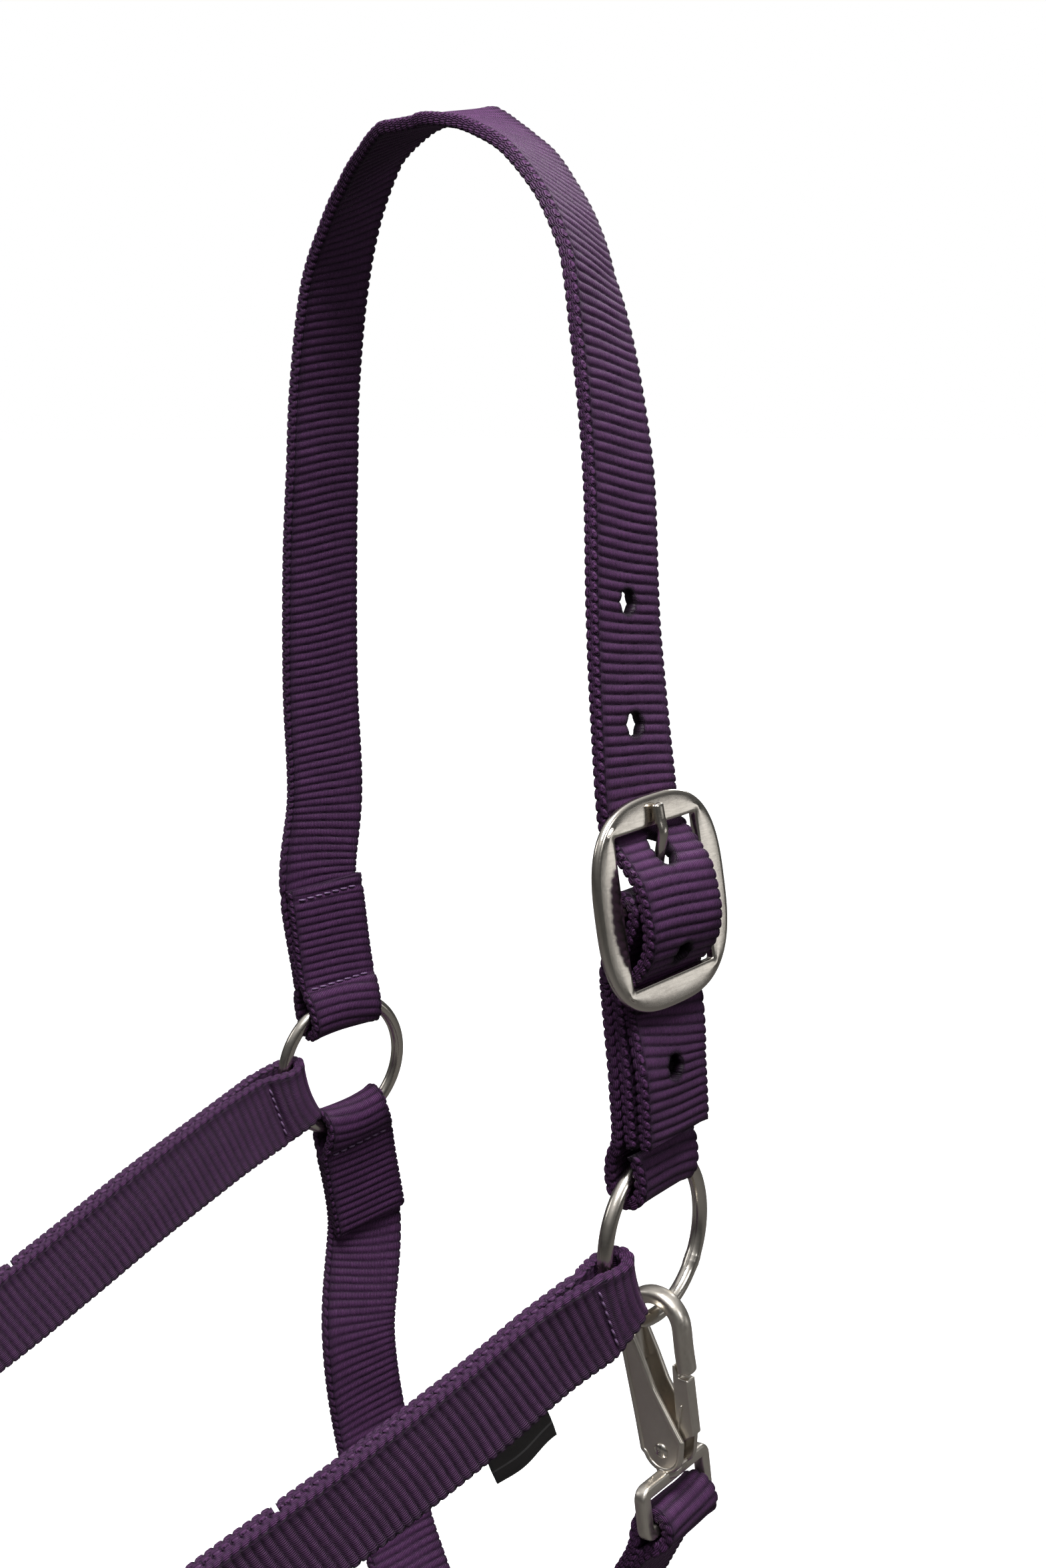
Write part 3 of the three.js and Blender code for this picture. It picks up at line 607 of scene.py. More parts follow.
# Along a stitch: a share of its half length, of its radius, and how deep it sinks.
STITCH_SHAPE = ((-1, 0.3, 0.3), (-0.8, 0.9, 0.08), (0, 1.05, 0), (0.8, 0.9, 0.08), (1, 0.3, 0.3))


def stitch_rows(seam_places):
    """Short rounded threads in a row across the strap, on the side that faces away from the fold."""
    points, faces = [], []
    turn = turns(8)[:, None]
    for place, across, out, tangent, width in seam_places:
        count = int((width - 4) / STITCH_PITCH)
        lean = unit(across + 0.12 * tangent)
        for k in range(count):
            middle = place + out * (PLY / 2 - 0.12) + across * STITCH_PITCH * (k - (count - 1) / 2)
            rings = []
            for share, thick, sink in STITCH_SHAPE:
                centre = middle + lean * share * STITCH_LENGTH / 2 - out * sink
                around = np.cos(turn) * tangent + np.sin(turn) * out
                rings.append(centre + STITCH_RADIUS * thick * around)
            some, quads = sweep(rings, False)
            faces += [[i + len(points) * len(some) for i in quad] for quad in quads]
            points.append(some)
    return np.vstack(points), faces


class Hole:
    """A punched hole, or a slot if it has a length, centred on a strap's middle line."""

    def __init__(self, along, radius, length=0.0):
        self.along, self.radius, self.length = along, radius, length

    def offset(self, a, s):
        """From the nearest point of the slot's middle line to each place, as two arrays."""
        ahead = s - self.along
        return a, ahead - np.clip(ahead, -self.length / 2, self.length / 2)


# Round a cell: the neighbour's step, and the two corners between.
CELL_SIDES = (
    ((-1, 0), (0, 0), (0, 1)),
    ((1, 0), (1, 1), (1, 0)),
    ((0, -1), (1, 0), (0, 0)),
    ((0, 1), (0, 1), (1, 1)),
)


def punched(points, values, holes, fine, line):
    """Opens holes through the strap: cells inside are dropped, the cells round them are drawn to
    the hole's edge, and a wall joins the two faces."""
    sections, around = points.shape[:2]
    per_face = profile(fine)[3]
    along, _, across, tangent, _, _ = line
    outer = np.arange(per_face)
    inner = around - EDGE_POINTS - 1 - np.arange(per_face)
    a = values["side"][:, outer]
    s = np.broadcast_to(along[:, None], a.shape)
    gone = np.zeros((sections - 1, per_face - 1), bool)
    cell_a, cell_s = ((row[:-1, :-1] + row[1:, 1:]) / 2 for row in (a, s))
    for hole in holes:
        da, ds = hole.offset(a, s)
        cells = np.hypot(*hole.offset(cell_a, cell_s)) < hole.radius
        corner = np.zeros(a.shape, int)
        for i, j in ((0, 0), (1, 0), (0, 1), (1, 1)):
            corner[i : i + sections - 1, j : j + per_face - 1] += cells
        rim = (corner > 0) & (corner < 4)
        reach = np.maximum(np.hypot(da, ds), 1e-6)
        move = np.where(rim, hole.radius - reach, 0) / reach
        shift = (move * da)[..., None] * across[:, None] + (move * ds)[..., None] * tangent[:, None]
        near = np.exp(-((np.clip(reach - hole.radius, 0, None) / 0.8) ** 2)) * (reach < hole.radius + 4)
        for columns in (outer, inner):
            points[:, columns] += shift
            values["melt"][:, columns] = np.maximum(values["melt"][:, columns], near)
        gone |= cells
    ids = np.arange(sections * around).reshape(sections, around)
    faces = [quads_of(ids[:, outer])[~gone], quads_of(ids[:, inner])[..., ::-1][~gone]]
    for start in (per_face - 1, around - EDGE_POINTS - 1):
        columns = np.arange(start, start + EDGE_POINTS + 2) % around
        faces.append(quads_of(ids[:, columns]).reshape(-1, 4))
    # Walls stand where a dropped cell meets a kept one.
    padded = np.pad(gone, 1)
    walls = []
    top, under = ids[:, outer], ids[:, inner]
    for i, j in zip(*np.nonzero(gone)):
        for (di, dj), (i1, j1), (i2, j2) in CELL_SIDES:
            if not padded[i + 1 + di, j + 1 + dj]:
                a, b = (i + i1, j + j1), (i + i2, j + j2)
                walls.append([top[a], top[b], under[b], under[a]])
    if walls:
        faces.append(np.array(walls))
    return np.vstack(faces).tolist()


def strap(node, knots, seams=(), hole_points=(), slot_point=None, singed=0.3, body="lower"):
    """Builds a strap in place of the CAD node, and its stitching."""
    fine = bool(len(hole_points)) or slot_point is not None
    points, values, seam_places, line = web_surface(knots, seams, fine, singed)
    along, place = line[0], line[1]
    holes = []
    for point in hole_points:
        stretch = HOLE_STRETCH if point is hole_points[2] else 0.0
        middle = along[np.argmin(np.linalg.norm(place - point, axis=1))]
        holes.append(Hole(middle, HOLE_RADIUS, stretch))
    if slot_point is not None:
        middle = along[np.argmin(np.linalg.norm(place - slot_point, axis=1))]
        holes.append(Hole(middle, TONGUE_WIRE + 0.8, SLOT_LENGTH))
    faces = punched(points, values, holes, fine, line)
    sections, around = points.shape[:2]
    faces += [list(range(around))[::-1], list(range((sections - 1) * around, sections * around))]
    numbers = {key: value.reshape(-1) for key, value in values.items()}
    make_object(node + "_webbing", points.reshape(-1, 3), faces, webbing_look, body, node, numbers)
    if seam_places:
        make_object(node + "_stitching", *stitch_rows(seam_places), thread_look, body)


# ---- Materials ----


class Nodes:
    """A short way to write the node graph of a material or a world."""

    def __init__(self, owner, shader="Principled BSDF"):
        self.owner = owner
        owner.use_nodes = True
        self.tree = owner.node_tree
        self.shader = self.tree.nodes[shader]

    @classmethod
    def material(cls, name):
        return cls(bpy.data.materials.new(name))

    def add(self, kind, inputs=None, **settings):
        node = self.tree.nodes.new(kind)
        for key, value in settings.items():
            setattr(node, key, value)
        for key, value in (inputs or {}).items():
            self.link(value, node.inputs[key])
        return node

    def link(self, value, socket):
        if isinstance(value, bpy.types.Node):
            value = value.outputs[0]
        if isinstance(value, bpy.types.NodeSocket):
            self.tree.links.new(value, socket)
        else:
            socket.default_value = value

    def math(self, operation, a, b=0.0, c=0.0):
        node = self.add("ShaderNodeMath", {0: a, 1: b}, operation=operation)
        if operation == "MULTIPLY_ADD":
            self.link(c, node.inputs[2])
        return node

    def mix(self, share, a, b):
        node = self.add("ShaderNodeMix", data_type="RGBA")
        self.link(share, node.inputs["Factor"])
        self.link(a, node.inputs["A"])
        self.link(b, node.inputs["B"])
        return node.outputs["Result"]

    def attribute(self, name):
        return self.add("ShaderNodeAttribute", attribute_name=name).outputs["Fac"]

    def point(self, x, y, z=0.0):
        return self.add("ShaderNodeCombineXYZ", {"X": x, "Y": y, "Z": z})

    def noise(self, vector, scale, detail=2.0):
        return self.add("ShaderNodeTexNoise", {"Vector": vector, "Scale": scale, "Detail": detail})

    def bump(self, height, distance):
        inputs = {"Height": height, "Distance": distance, "Strength": 1.0}
        return self.add("ShaderNodeBump", inputs)

    def finish(self, **inputs):
        for key, value in inputs.items():
            self.link(value, self.shader.inputs[key.replace("_", " ")])
        return self.owner


def webbing_material():
    """Dyed nylon with upright yarns over each rib and black where melted; its colour also carries painted
    shade, dark between the ribs and beads and down each yarn's sides.
    """
    n = Nodes.material("ribbed_nylon")
    along, side = n.attribute("along"), n.attribute("side")
    relief, melt = n.attribute("relief"), n.attribute("melt")
    rib = n.math("DIVIDE", along, RIB_PITCH)
    rib_number = n.math("FLOOR", rib)
    yarn = n.math("MULTIPLY_ADD", rib_number, 0.5, n.math("DIVIDE", side, YARN_PITCH))
    across_yarn = n.math("MULTIPLY_ADD", n.math("FRACT", yarn), 2.0, -1.0)
    yarn_height = n.math("SUBTRACT", 1.0, n.math("MULTIPLY", across_yarn, across_yarn))
    cell = n.point(n.math("FLOOR", yarn), rib_number)
    tint = n.add("ShaderNodeTexWhiteNoise", {"Vector": cell}, noise_dimensions="2D")
    patches = n.noise(n.point(side, along), 0.035, 3.0)
    fibres = n.noise(n.point(n.math("MULTIPLY", side, 7.0), along), 1.1, 3.0)
    # Painted shade: the colour runs from lit purple to near black in the valleys between ribs and beads and
    # towards each yarn's sides.
    depth = n.math("MULTIPLY", relief, n.math("MULTIPLY_ADD", yarn_height, 0.78, 0.25))
    colour = n.mix(depth, (0.002, 0.0008, 0.003, 1), (0.1, 0.033, 0.11, 1))
    colour = n.mix(n.math("MULTIPLY", tint.outputs["Value"], 0.35), colour, (0.028, 0.01, 0.033, 1))
    colour = n.mix(n.math("MULTIPLY", patches, 0.25), colour, (0.04, 0.016, 0.046, 1))
    colour = n.mix(n.math("MULTIPLY", melt, 0.85), colour, (0.004, 0.003, 0.004, 1))
    height = n.math("MULTIPLY_ADD", fibres, 0.35, yarn_height)
    height = n.math("MULTIPLY_ADD", melt, n.noise(n.point(side, along), 3.0), height)
    rough = n.math("MULTIPLY_ADD", fibres, 0.2, 0.42)
    return n.finish(
        Base_Color=colour,
        Roughness=rough,
        Normal=n.bump(height, 0.2 * MM),
        Specular_IOR_Level=0.15,
        Sheen_Weight=0.02,
        Sheen_Roughness=0.4,
        Sheen_Tint=(0.75, 0.6, 0.85, 1),
    )


def thread_material():
    n = Nodes.material("sewing_thread")
    place = n.add("ShaderNodeTexCoord").outputs["Object"]
    twist = n.add("ShaderNodeTexWave", {"Vector": place, "Scale": 900.0, "Distortion": 1.0})
    colour = n.mix(n.math("MULTIPLY", twist, 0.6), (0.17, 0.1, 0.2, 1), (0.07, 0.035, 0.09, 1))
    return n.finish(Base_Color=colour, Roughness=0.55, Normal=n.bump(twist, 0.05 * MM))


def nickel_material(name, rough, spots):
    """Nickel plate with soft polishing marks; spots is how much the casting's skin shows."""
    n = Nodes.material(name)
    place = n.add("ShaderNodeTexCoord").outputs["Object"]
    cloud = n.noise(place, 90.0, 4.0)
    grain = n.noise(place, 1400.0, 3.0)
    marks = n.noise(n.add("ShaderNodeMapping", {"Vector": place, "Scale": (300, 300, 2500)}), 1.0, 2.0)
    colour = n.mix(cloud, (0.6, 0.55, 0.485, 1), (0.76, 0.715, 0.65, 1))
    roughness = n.math("MULTIPLY_ADD", marks, 0.12, n.math("MULTIPLY_ADD", grain, spots, rough))
    height = n.math("MULTIPLY_ADD", cloud, 1.5, n.math("MULTIPLY", grain, spots * 2))
    return n.finish(
        Base_Color=colour, Metallic=1.0, Roughness=roughness, Normal=n.bump(height, 0.05 * MM)
    )


def label_material():
    """Black woven satin with a plain grey band near its lower edge."""
    n = Nodes.material("woven_label")
    across, along = n.attribute("across"), n.attribute("along")
    warp = n.add("ShaderNodeTexWave", {"Vector": n.point(across, along), "Scale": 2.2}, bands_direction="X")
    band = n.math("LESS_THAN", n.math("ABSOLUTE", n.math("SUBTRACT", along, 9.6)), 0.55)
    colour = n.mix(n.math("MULTIPLY", warp, 0.5), (0.012, 0.011, 0.012, 1), (0.03, 0.028, 0.03, 1))
    colour = n.mix(n.math("MULTIPLY", band, 0.7), colour, (0.16, 0.16, 0.165, 1))
    return n.finish(Base_Color=colour, Roughness=0.55, Normal=n.bump(warp, 0.05 * MM))


webbing_look = webbing_material()
thread_look = thread_material()
plate_look = nickel_material("polished_nickel", 0.12, 0.05)
casting_look = nickel_material("cast_nickel", 0.18, 0.2)
label_look = label_material()


# ---- The straps ----


def seam(where, height, shift=0.0):
    return where.at(shift, height, 0)


RING_SEAM = RING_RADIUS + RING_WIRE + 3.2
SQUARE_SEAM = SQUARE_INNER / 2 + 2 * SQUARE_WIRE + 5
LEAD_SEAM = LEAD_RING_RADIUS + LEAD_RING_WIRE + 4

hole_heights = [
    (HOLE_ABOVE_BAR + 2 * HOLE_PITCH, -8),
    (HOLE_ABOVE_BAR + HOLE_PITCH, -4),
    (HOLE_ABOVE_BAR - 1.3, 0.4),
    (HOLE_ABOVE_BAR - HOLE_PITCH + 4, 3),
    (HOLE_ABOVE_BAR - 2 * HOLE_PITCH + 4, -3),
]
strap(
    "crown_strap",
    crown_knots(),
    seams=[seam(crown_lap, RING_SEAM), seam(crown_lap, 53)],
    hole_points=[buckle.at(0, up, out) for up, out in hole_heights],
    body="crown",
)
slot_point = buckle.at(0, 3.2, -BAR_SETBACK)
strap("chape_strap", chape_knots(), slot_point=slot_point, singed=1.0, body="crown")
strap(
    "near_cheek_strap",
    cheek_knots(near_cheek_end, near_cheek_path, near_square, 0.9, shift=-2.2, pinched=18.5),
    seams=[seam(near_cheek_end, RING_SEAM), seam(near_square.turned(-90), SQUARE_SEAM)],
)
strap(
    "far_cheek_strap",
    cheek_knots(far_cheek_end, far_cheek_path, far_square, 0.93),
    seams=[seam(far_cheek_end, RING_SEAM), seam(far_square.turned(-90), SQUARE_SEAM)],
)
strap("throat_strap", throat_knots(), seams=[seam(far_ring.turned(190), RING_SEAM)])
strap(
    "noseband",
    noseband_knots(),
    seams=[seam(near_square, SQUARE_SEAM), seam(far_square, SQUARE_SEAM)],
)
for node, square, side, bends in (
    ("near_chin_strap", near_square, 1, [(42, -167, -134), (30, -165, -147)]),
    ("far_chin_strap", far_square, -1, [(-69, -167, -132), (-56, -165, -147)]),
):
    ends = [square.turned(180), lead_ring.turned(side * 100)]
    strap(
        node,
        chin_knots(square, side, bends),
        seams=[seam(ends[0], SQUARE_SEAM), seam(ends[1], LEAD_SEAM)],
    )
strap("jaw_strap", jaw_knots(), seams=[seam(lead_ring, LEAD_SEAM)])


# ---- Hardware ----


def arc(centre, radius, start, end, steps=8):
    """Points of a flat arc, angles in degrees."""
    turn = np.radians(np.linspace(start, end, steps + 1))
    return np.column_stack([centre[0] + radius * np.cos(turn), centre[1] + radius * np.sin(turn)])


def rod(name, points, normal, sizes, closed, look, body, node, squareness=1.0, around=24):
    """A bar along points. Sizes are its half widths in the path's plane and along the normal, at
    every point or for all. A squareness of 1 is round and less is squarer. Open ends are domed."""
    points = np.asarray(points, float)
    if closed:
        tangent = np.roll(points, -1, 0) - np.roll(points, 1, 0)
    else:
        tangent = np.gradient(points, axis=0)
    tangent = units(tangent)
    side = units(np.cross(tangent, np.broadcast_to(normal, points.shape)))
    out = np.cross(side, tangent)
    sizes = np.broadcast_to(np.asarray(sizes, float), (len(points), 2)).copy()
    if not closed:
        length = lengths(points)
        ends = np.minimum(length, length[-1] - length)
        dome = np.clip(1 - ends / (0.7 * sizes.min()), 0, 0.97)
        sizes *= np.sqrt(1 - dome**2)[:, None]
    turn = turns(around)
    x = np.sign(np.cos(turn)) * np.abs(np.cos(turn)) ** squareness
    y = np.sign(np.sin(turn)) * np.abs(np.sin(turn)) ** squareness
    sections = points[:, None] + (x * sizes[:, :1])[..., None] * side[:, None]
    sections = sections + (y * sizes[:, 1:])[..., None] * out[:, None]
    return make_object(name, *sweep(sections, closed), look, body, node)


def dense(points, step=0.3, closed=False):
    """The same corners joined by evenly spaced points."""
    points = np.asarray(points, float)
    if closed:
        points = np.vstack([points, points[:1]])
    length = lengths(points)
    places = np.linspace(0, length[-1], int(length[-1] / step) + 1)
    if closed:
        places = places[:-1]
    return np.column_stack([np.interp(places, length, column) for column in points.T])


def smooth(points):
    """Closely spaced points on a curve through the given ones."""
    return centre_line([knot(point, (0, 0, 0)) for point in points])[1]


def prism(name, outline, near, far, body, node, bevel):
    """A flat outline (across, up) of the snap, filled from one depth to another, with rounded edges."""
    outline = np.asarray(outline, float)
    count = len(outline)
    points = np.vstack([snap.flat(outline, near), snap.flat(outline, far)])
    ring = np.arange(count)
    ahead = (ring + 1) % count
    sides = np.stack([ring, ahead, ahead + count, ring + count], -1).tolist()
    faces = [list(range(count))[::-1], list(range(count, 2 * count))] + sides
    made = make_object(name, points, faces, casting_look, body, node)
    rounding = made.modifiers.new("rounding", "BEVEL")
    rounding.width = bevel * MM
    rounding.segments = 4
    rounding.limit_method = "ANGLE"
    rounding.angle_limit = math.radians(35)
    rounding.harden_normals = True


def round_ring(node, body, where, radius, wire, weld):
    """A ring of bent wire whose ends meet in a small weld bead at an angle in degrees."""
    turn = turns(240)
    points = where.flat(radius * np.column_stack([np.cos(turn), np.sin(turn)]))
    away = np.abs((turn - math.radians(weld) + math.pi) % (2 * math.pi) - math.pi) * radius
    swell = 1 + 0.1 * np.exp(-((away / 1.3) ** 2)) - 0.08 * np.exp(-((away / 0.25) ** 2))
    sizes = wire * swell[:, None] * np.ones(2)
    rod(node + "_wire", points, where.out, sizes, True, plate_look, body, node)


def square_ring(node, where):
    straight = SQUARE_INNER / 2 + SQUARE_WIRE - SQUARE_CORNER
    path = []
    for corner in range(4):
        middle = math.radians(90 * corner + 45)
        centre = (straight * np.sign(math.cos(middle)), straight * np.sign(math.sin(middle)))
        path.append(arc(centre, SQUARE_CORNER, 90 * corner, 90 * corner + 90, 12))
    path = dense(np.vstack(path), 0.6, True)
    points = where.flat(path)
    size = (SQUARE_WIRE, SQUARE_WIRE)
    rod(node + "_wire", points, where.out, size, True, plate_look, "lower", node, 0.9)


def buckle_plate():
    """The plate: a section with a rolled outer edge, carried round from window to outline."""
    half_width, half_height = WINDOW_WIDTH / 2, WINDOW_HEIGHT / 2
    corner = 0.7
    window = []
    for number, (x, y) in enumerate(((1, 1), (-1, 1), (-1, -1), (1, -1))):
        centre = (x * (half_width - corner), y * (half_height - corner))
        window.append(arc(centre, corner, 90 * number, 90 * number + 90, 5))
    window = dense(np.vstack(window), 0.45, True)
    power = 2 / 0.72
    share = np.abs(window) / (BUCKLE_HALF_WIDTH, BUCKLE_HALF_HEIGHT)
    outline = window * ((share**power).sum(1) ** (-1 / power))[:, None]
    outward_way = units(outline - window)
    width = np.linalg.norm(outline - window, axis=1)
    half = BUCKLE_THICKNESS / 2
    sections = []
    # Each entry: a distance from the window's edge, or back from the outer edge, and a height.
    section = [("in", 0, 0.4 - half), ("in", 0, half - 0.35), ("in", 0.12, half - 0.1), ("in", 0.35, half)]
    section += [("in", 1.1, half + 0.02), ("share", 0.35, half + 0.07), ("share", 0.5, half + 0.09)]
    section += [("share", 0.65, half + 0.07), ("out", 1.5, half + 0.02), ("out", 0.95, half - 0.02)]
    section += [("out", 0.5, half - 0.14), ("out", 0.2, half - 0.4), ("out", 0.04, half - 0.8)]
    section += [("out", 0, -0.3), ("out", 0.25, 0.35 - half), ("out", 0.8, -half)]
    section += [("share", 0.5, -half), ("in", 0.4, -half)]
    for kind, distance, height in section:
        reach = {"in": distance, "share": distance * width, "out": width - distance}[kind]
        reach = np.broadcast_to(reach, width.shape)
        sections.append(buckle.flat(window + reach[:, None] * outward_way, height))
    sections = np.stack(sections, 1)
    made_of = (plate_look, "crown", "buckle_frame")
    make_object("buckle_plate", *sweep(sections, True), *made_of)
    reach = WINDOW_WIDTH / 2 + 2
    bar = buckle.place(dense([(-reach, 0, -BAR_SETBACK), (reach, 0, -BAR_SETBACK)], 0.4))
    rod("buckle_bar", bar, buckle.out, (BAR_RADIUS, BAR_RADIUS), False, *made_of)


def buckle_tongue():
    """A flattened wire: an eye round the bar and an arm through the hole to the top of the plate."""
    eye = BAR_RADIUS + 0.3 + TONGUE_WIRE
    rest = BUCKLE_THICKNESS / 2 + 0.3 + TONGUE_WIRE
    path = []
    for degrees in range(-40, 261, 20):
        angle = math.radians(degrees)
        path.append((0, -eye * math.cos(angle), -BAR_SETBACK - eye * math.sin(angle)))
    path += [(0, 3.5, eye - BAR_SETBACK - 0.7), (0, HOLE_ABOVE_BAR - 4.5, rest - 2.1)]
    path += [(0, HOLE_ABOVE_BAR, rest - 0.7), (0, HOLE_ABOVE_BAR + 3.5, rest + 0.4)]
    path += [(0, WINDOW_HEIGHT / 2 + 1.5, rest + 0.1), (0, WINDOW_HEIGHT / 2 + 5.2, rest - 0.1)]
    points = smooth(buckle.place(path))
    height = (points - buckle.origin) @ buckle.up
    flat = np.clip((height - 5) / 5, 0, 1)
    sizes = np.column_stack([TONGUE_WIRE - 0.2 * flat, TONGUE_WIRE + 0.4 * flat])
    made_of = (plate_look, "tongue", "buckle_tongue")
    rod("tongue_wire", points, buckle.across, sizes, False, *made_of, squareness=0.75)


# The snap, round its rivet at (0, 0).

CHEEK = np.vstack(
    [
        [(-4.6, SNAP_ARCH - 3), (-9.0, SNAP_ARCH - 4), (-6.9, 8), (-6.1, -1)],
        arc((0.2, 0), 5.7, 198, 345, 10),
        [(6.5, 3), (3.3, 9), (-0.2, 15.8), (-2.4, 22.5)],
    ]
)


def snap_casting():
    made_of = (casting_look, "lower", "snap_body")
    # The hook: up from the spine, over the arch and down to the nose.
    rise = [(-6.3, SNAP_ARCH - 12), (-7.0, SNAP_ARCH - 6)]
    nose = [(7.3, SNAP_ARCH - 6), (7.6, SNAP_ARCH - 12)]
    path = np.vstack([rise, arc((0, SNAP_ARCH - 0.5), 7.25, 180, 0, 14), nose])
    points = smooth(snap.flat(path))
    end = np.linspace(1, 0, len(points)) ** 4
    sizes = np.column_stack([2.05 - 0.1 * end, HOOK_HALF_DEPTH + 0.3 + 0.5 * end])
    rod("snap_hook", points, snap.out, sizes, False, *made_of, squareness=0.8)
    depths = {"front": (CHANNEL_HALF, SNAP_HALF_DEPTH), "back": (-SNAP_HALF_DEPTH, -CHANNEL_HALF)}
    for name, (near, far) in depths.items():
        prism(f"snap_{name}_cheek", CHEEK, near, far, "lower", "snap_body", 0.45)
        side = math.copysign(SNAP_HALF_DEPTH - 0.05, near)
        rim = dense(inset(CHEEK, 0.75), 0.35, True)
        rod(f"snap_{name}_rim", snap.flat(rim, side), snap.out, (0.62, 0.42), True, *made_of, around=12)
    web = [(-5.1, SNAP_ARCH - 9), (-8.6, SNAP_ARCH - 5), (-6.7, 8), (-5.9, -1), (-3.8, -4.4), (3.5, -4.6)]
    web += [(3.2, -3.6), (-3.3, -3.4), (-4.7, 9)]
    prism("snap_spine", web, -3.0, 3.0, "lower", "snap_body", 0.35)
    snap_neck(made_of)
    # The strap eye, square to the hook.
    reach = EYE_WIDTH / 2 + EYE_WIRE
    corners = [(-reach, -EYE_TOP), (reach, -EYE_TOP), (reach, -EYE_DROP), (-reach, -EYE_DROP)]
    corner = 1.6
    path = []
    for (x, y), start in zip(corners, (180, 90, 0, -90)):
        centre = (x - math.copysign(corner, x), y - (corner if y == -EYE_TOP else -corner))
        path.append(arc(centre, corner, start, start - 90, 6))
    path = dense(np.vstack(path), 0.4, True)
    points = snap.place(np.column_stack([np.zeros(len(path)), path[:, 1], path[:, 0]]))
    rod("snap_eye", points, snap.across, (1.65, 1.65), True, *made_of, squareness=0.45)


def inset(outline, distance):
    """The outline moved inwards, corner by corner. It runs anticlockwise."""
    outline = np.asarray(outline, float)
    ahead = units(np.roll(outline, -1, 0) - outline)
    normal = np.column_stack([-ahead[:, 1], ahead[:, 0]])
    middle = normal + np.roll(normal, 1, 0)
    scale = distance * 2 / np.maximum((middle**2).sum(1), 1.0)
    return outline + middle * scale[:, None]


def snap_neck(made_of):
    """The lump of metal between the rivet's lobe and the eye."""
    rings = []
    for height in np.linspace(-1, 1, 13):
        reach = math.sqrt(max(1 - height**4, 0.02))
        turn = turns(32)
        lumps = 1 + 0.06 * np.sin(3 * turn + 2 * height) + 0.04 * np.sin(5 * turn)
        across = 3.1 * reach * lumps * np.cos(turn)
        out = 4.2 * reach * lumps * np.sin(turn)
        rings.append(snap.place(np.column_stack([across, np.full(32, height * 1.7 - 5.8), out])))
    make_object("snap_neck", *sweep(rings, False), *made_of)


def snap_lever():
    outline = [(5.0, SNAP_ARCH - 9.4), (4.3, SNAP_ARCH - 9.8), (3.9, 9), (3.0, 5.2)]
    top = [(8.7, 4.6), (8.5, SNAP_ARCH - 12.9), (5.9, SNAP_ARCH - 12.6)]
    outline = np.vstack([outline, arc((0, 0), 3.2, 95, 380, 20), top])
    half = GATE_HALF_DEPTH + 0.2
    prism("snap_lever", outline, -half, half, "gate", "snap_gate", 0.5)


def snap_rivet():
    """A pin with two low domed heads."""
    head = SNAP_HALF_DEPTH + 0.75
    rings = [(head, 0.3), (head - 0.1, 1.1), (head - 0.4, 1.75)]
    rings += [(SNAP_HALF_DEPTH - 0.1, 2.0), (SNAP_HALF_DEPTH - 0.3, 1.5)]
    rings += [(-depth, radius) for depth, radius in rings[::-1]]
    circle = np.column_stack([np.cos(turns(32)), np.sin(turns(32))])
    sections = [snap.flat(radius * circle, depth) for depth, radius in rings]
    make_object("rivet", *sweep(sections, False), plate_look, "lower", "snap_rivet")


def snap_spring():
    layer = (2 * GATE_HALF_DEPTH + 2 * CHANNEL_HALF) / 4
    path = np.vstack([[(-3.2, 13), (-2.2, 6)], arc((0, 0), 2.2, 180, 360, 9), [(4.6, 6), (6.2, 12)]])
    points = smooth(snap.flat(path, layer))
    made_of = (plate_look, "lower", "snap_spring")
    rod("spring_wire", points, snap.out, (0.25, 0.25), False, *made_of, around=10)


def sewn_label():
    """A thin leaf folded at its lower edge, hanging inwards from the cheek strap's lower edge."""
    start, ahead = near_cheek_path[1][0], near_cheek_path[2][0] - near_cheek_path[0][0]
    out, ahead = near_cheek_path[1][1], unit(ahead)
    up = unit(np.cross(ahead, out))
    top = start + LABEL_SHIFT * ahead - (WEB_WIDTH / 2 - 2) * up
    swing = math.radians(LABEL_SWING)
    drop = -math.cos(swing) * up - math.sin(swing) * out
    face = math.cos(swing) * out - math.sin(swing) * up
    rows, columns = 30, 26
    # Down the outer leaf, round the fold and up the inner one, then back within the cloth.
    down = np.concatenate([np.linspace(0, 1, rows), np.linspace(1, 0, rows)])
    leaf = np.repeat([1, -1], rows)
    half = 0.25 + 0.45 * np.sin(down * math.pi) ** 2 * (down < 1)
    within = np.repeat([0, LABEL_CLOTH], 2 * rows)
    down, leaf, half = (np.concatenate([row, row[::-1]]) for row in (down, leaf, half))
    sections = []
    for across in (np.arange(columns) / (columns - 1) - 0.5) * LABEL_WIDTH:
        wave = 0.5 * math.sin(across * 0.35 + 1) * down + 0.35 * np.sin(down * 3 + across * 0.2)
        depth = wave + leaf * (half - within)
        bottom = LABEL_DROP + 0.7 * down * math.sin(across * 0.25)
        fall = down * (bottom - within)
        sections.append(top + across * ahead + fall[:, None] * drop + depth[:, None] * face)
    around = len(down)
    points = np.vstack(sections)
    faces = grid_faces(columns, around, False).tolist()
    last = (columns - 1) * around
    for i in range(2 * rows - 1):
        rim = [i, i + 1, around - 2 - i, around - 1 - i]
        faces += [rim[::-1], [last + corner for corner in rim]]
    side = np.repeat((np.arange(columns) / (columns - 1) - 0.5) * LABEL_WIDTH, around)
    values = {"across": side, "along": np.tile(down * LABEL_DROP, columns)}
    faces = outward(points, np.array(faces))
    make_object("label_leaf", points, faces, label_look, "lower", "label", values)


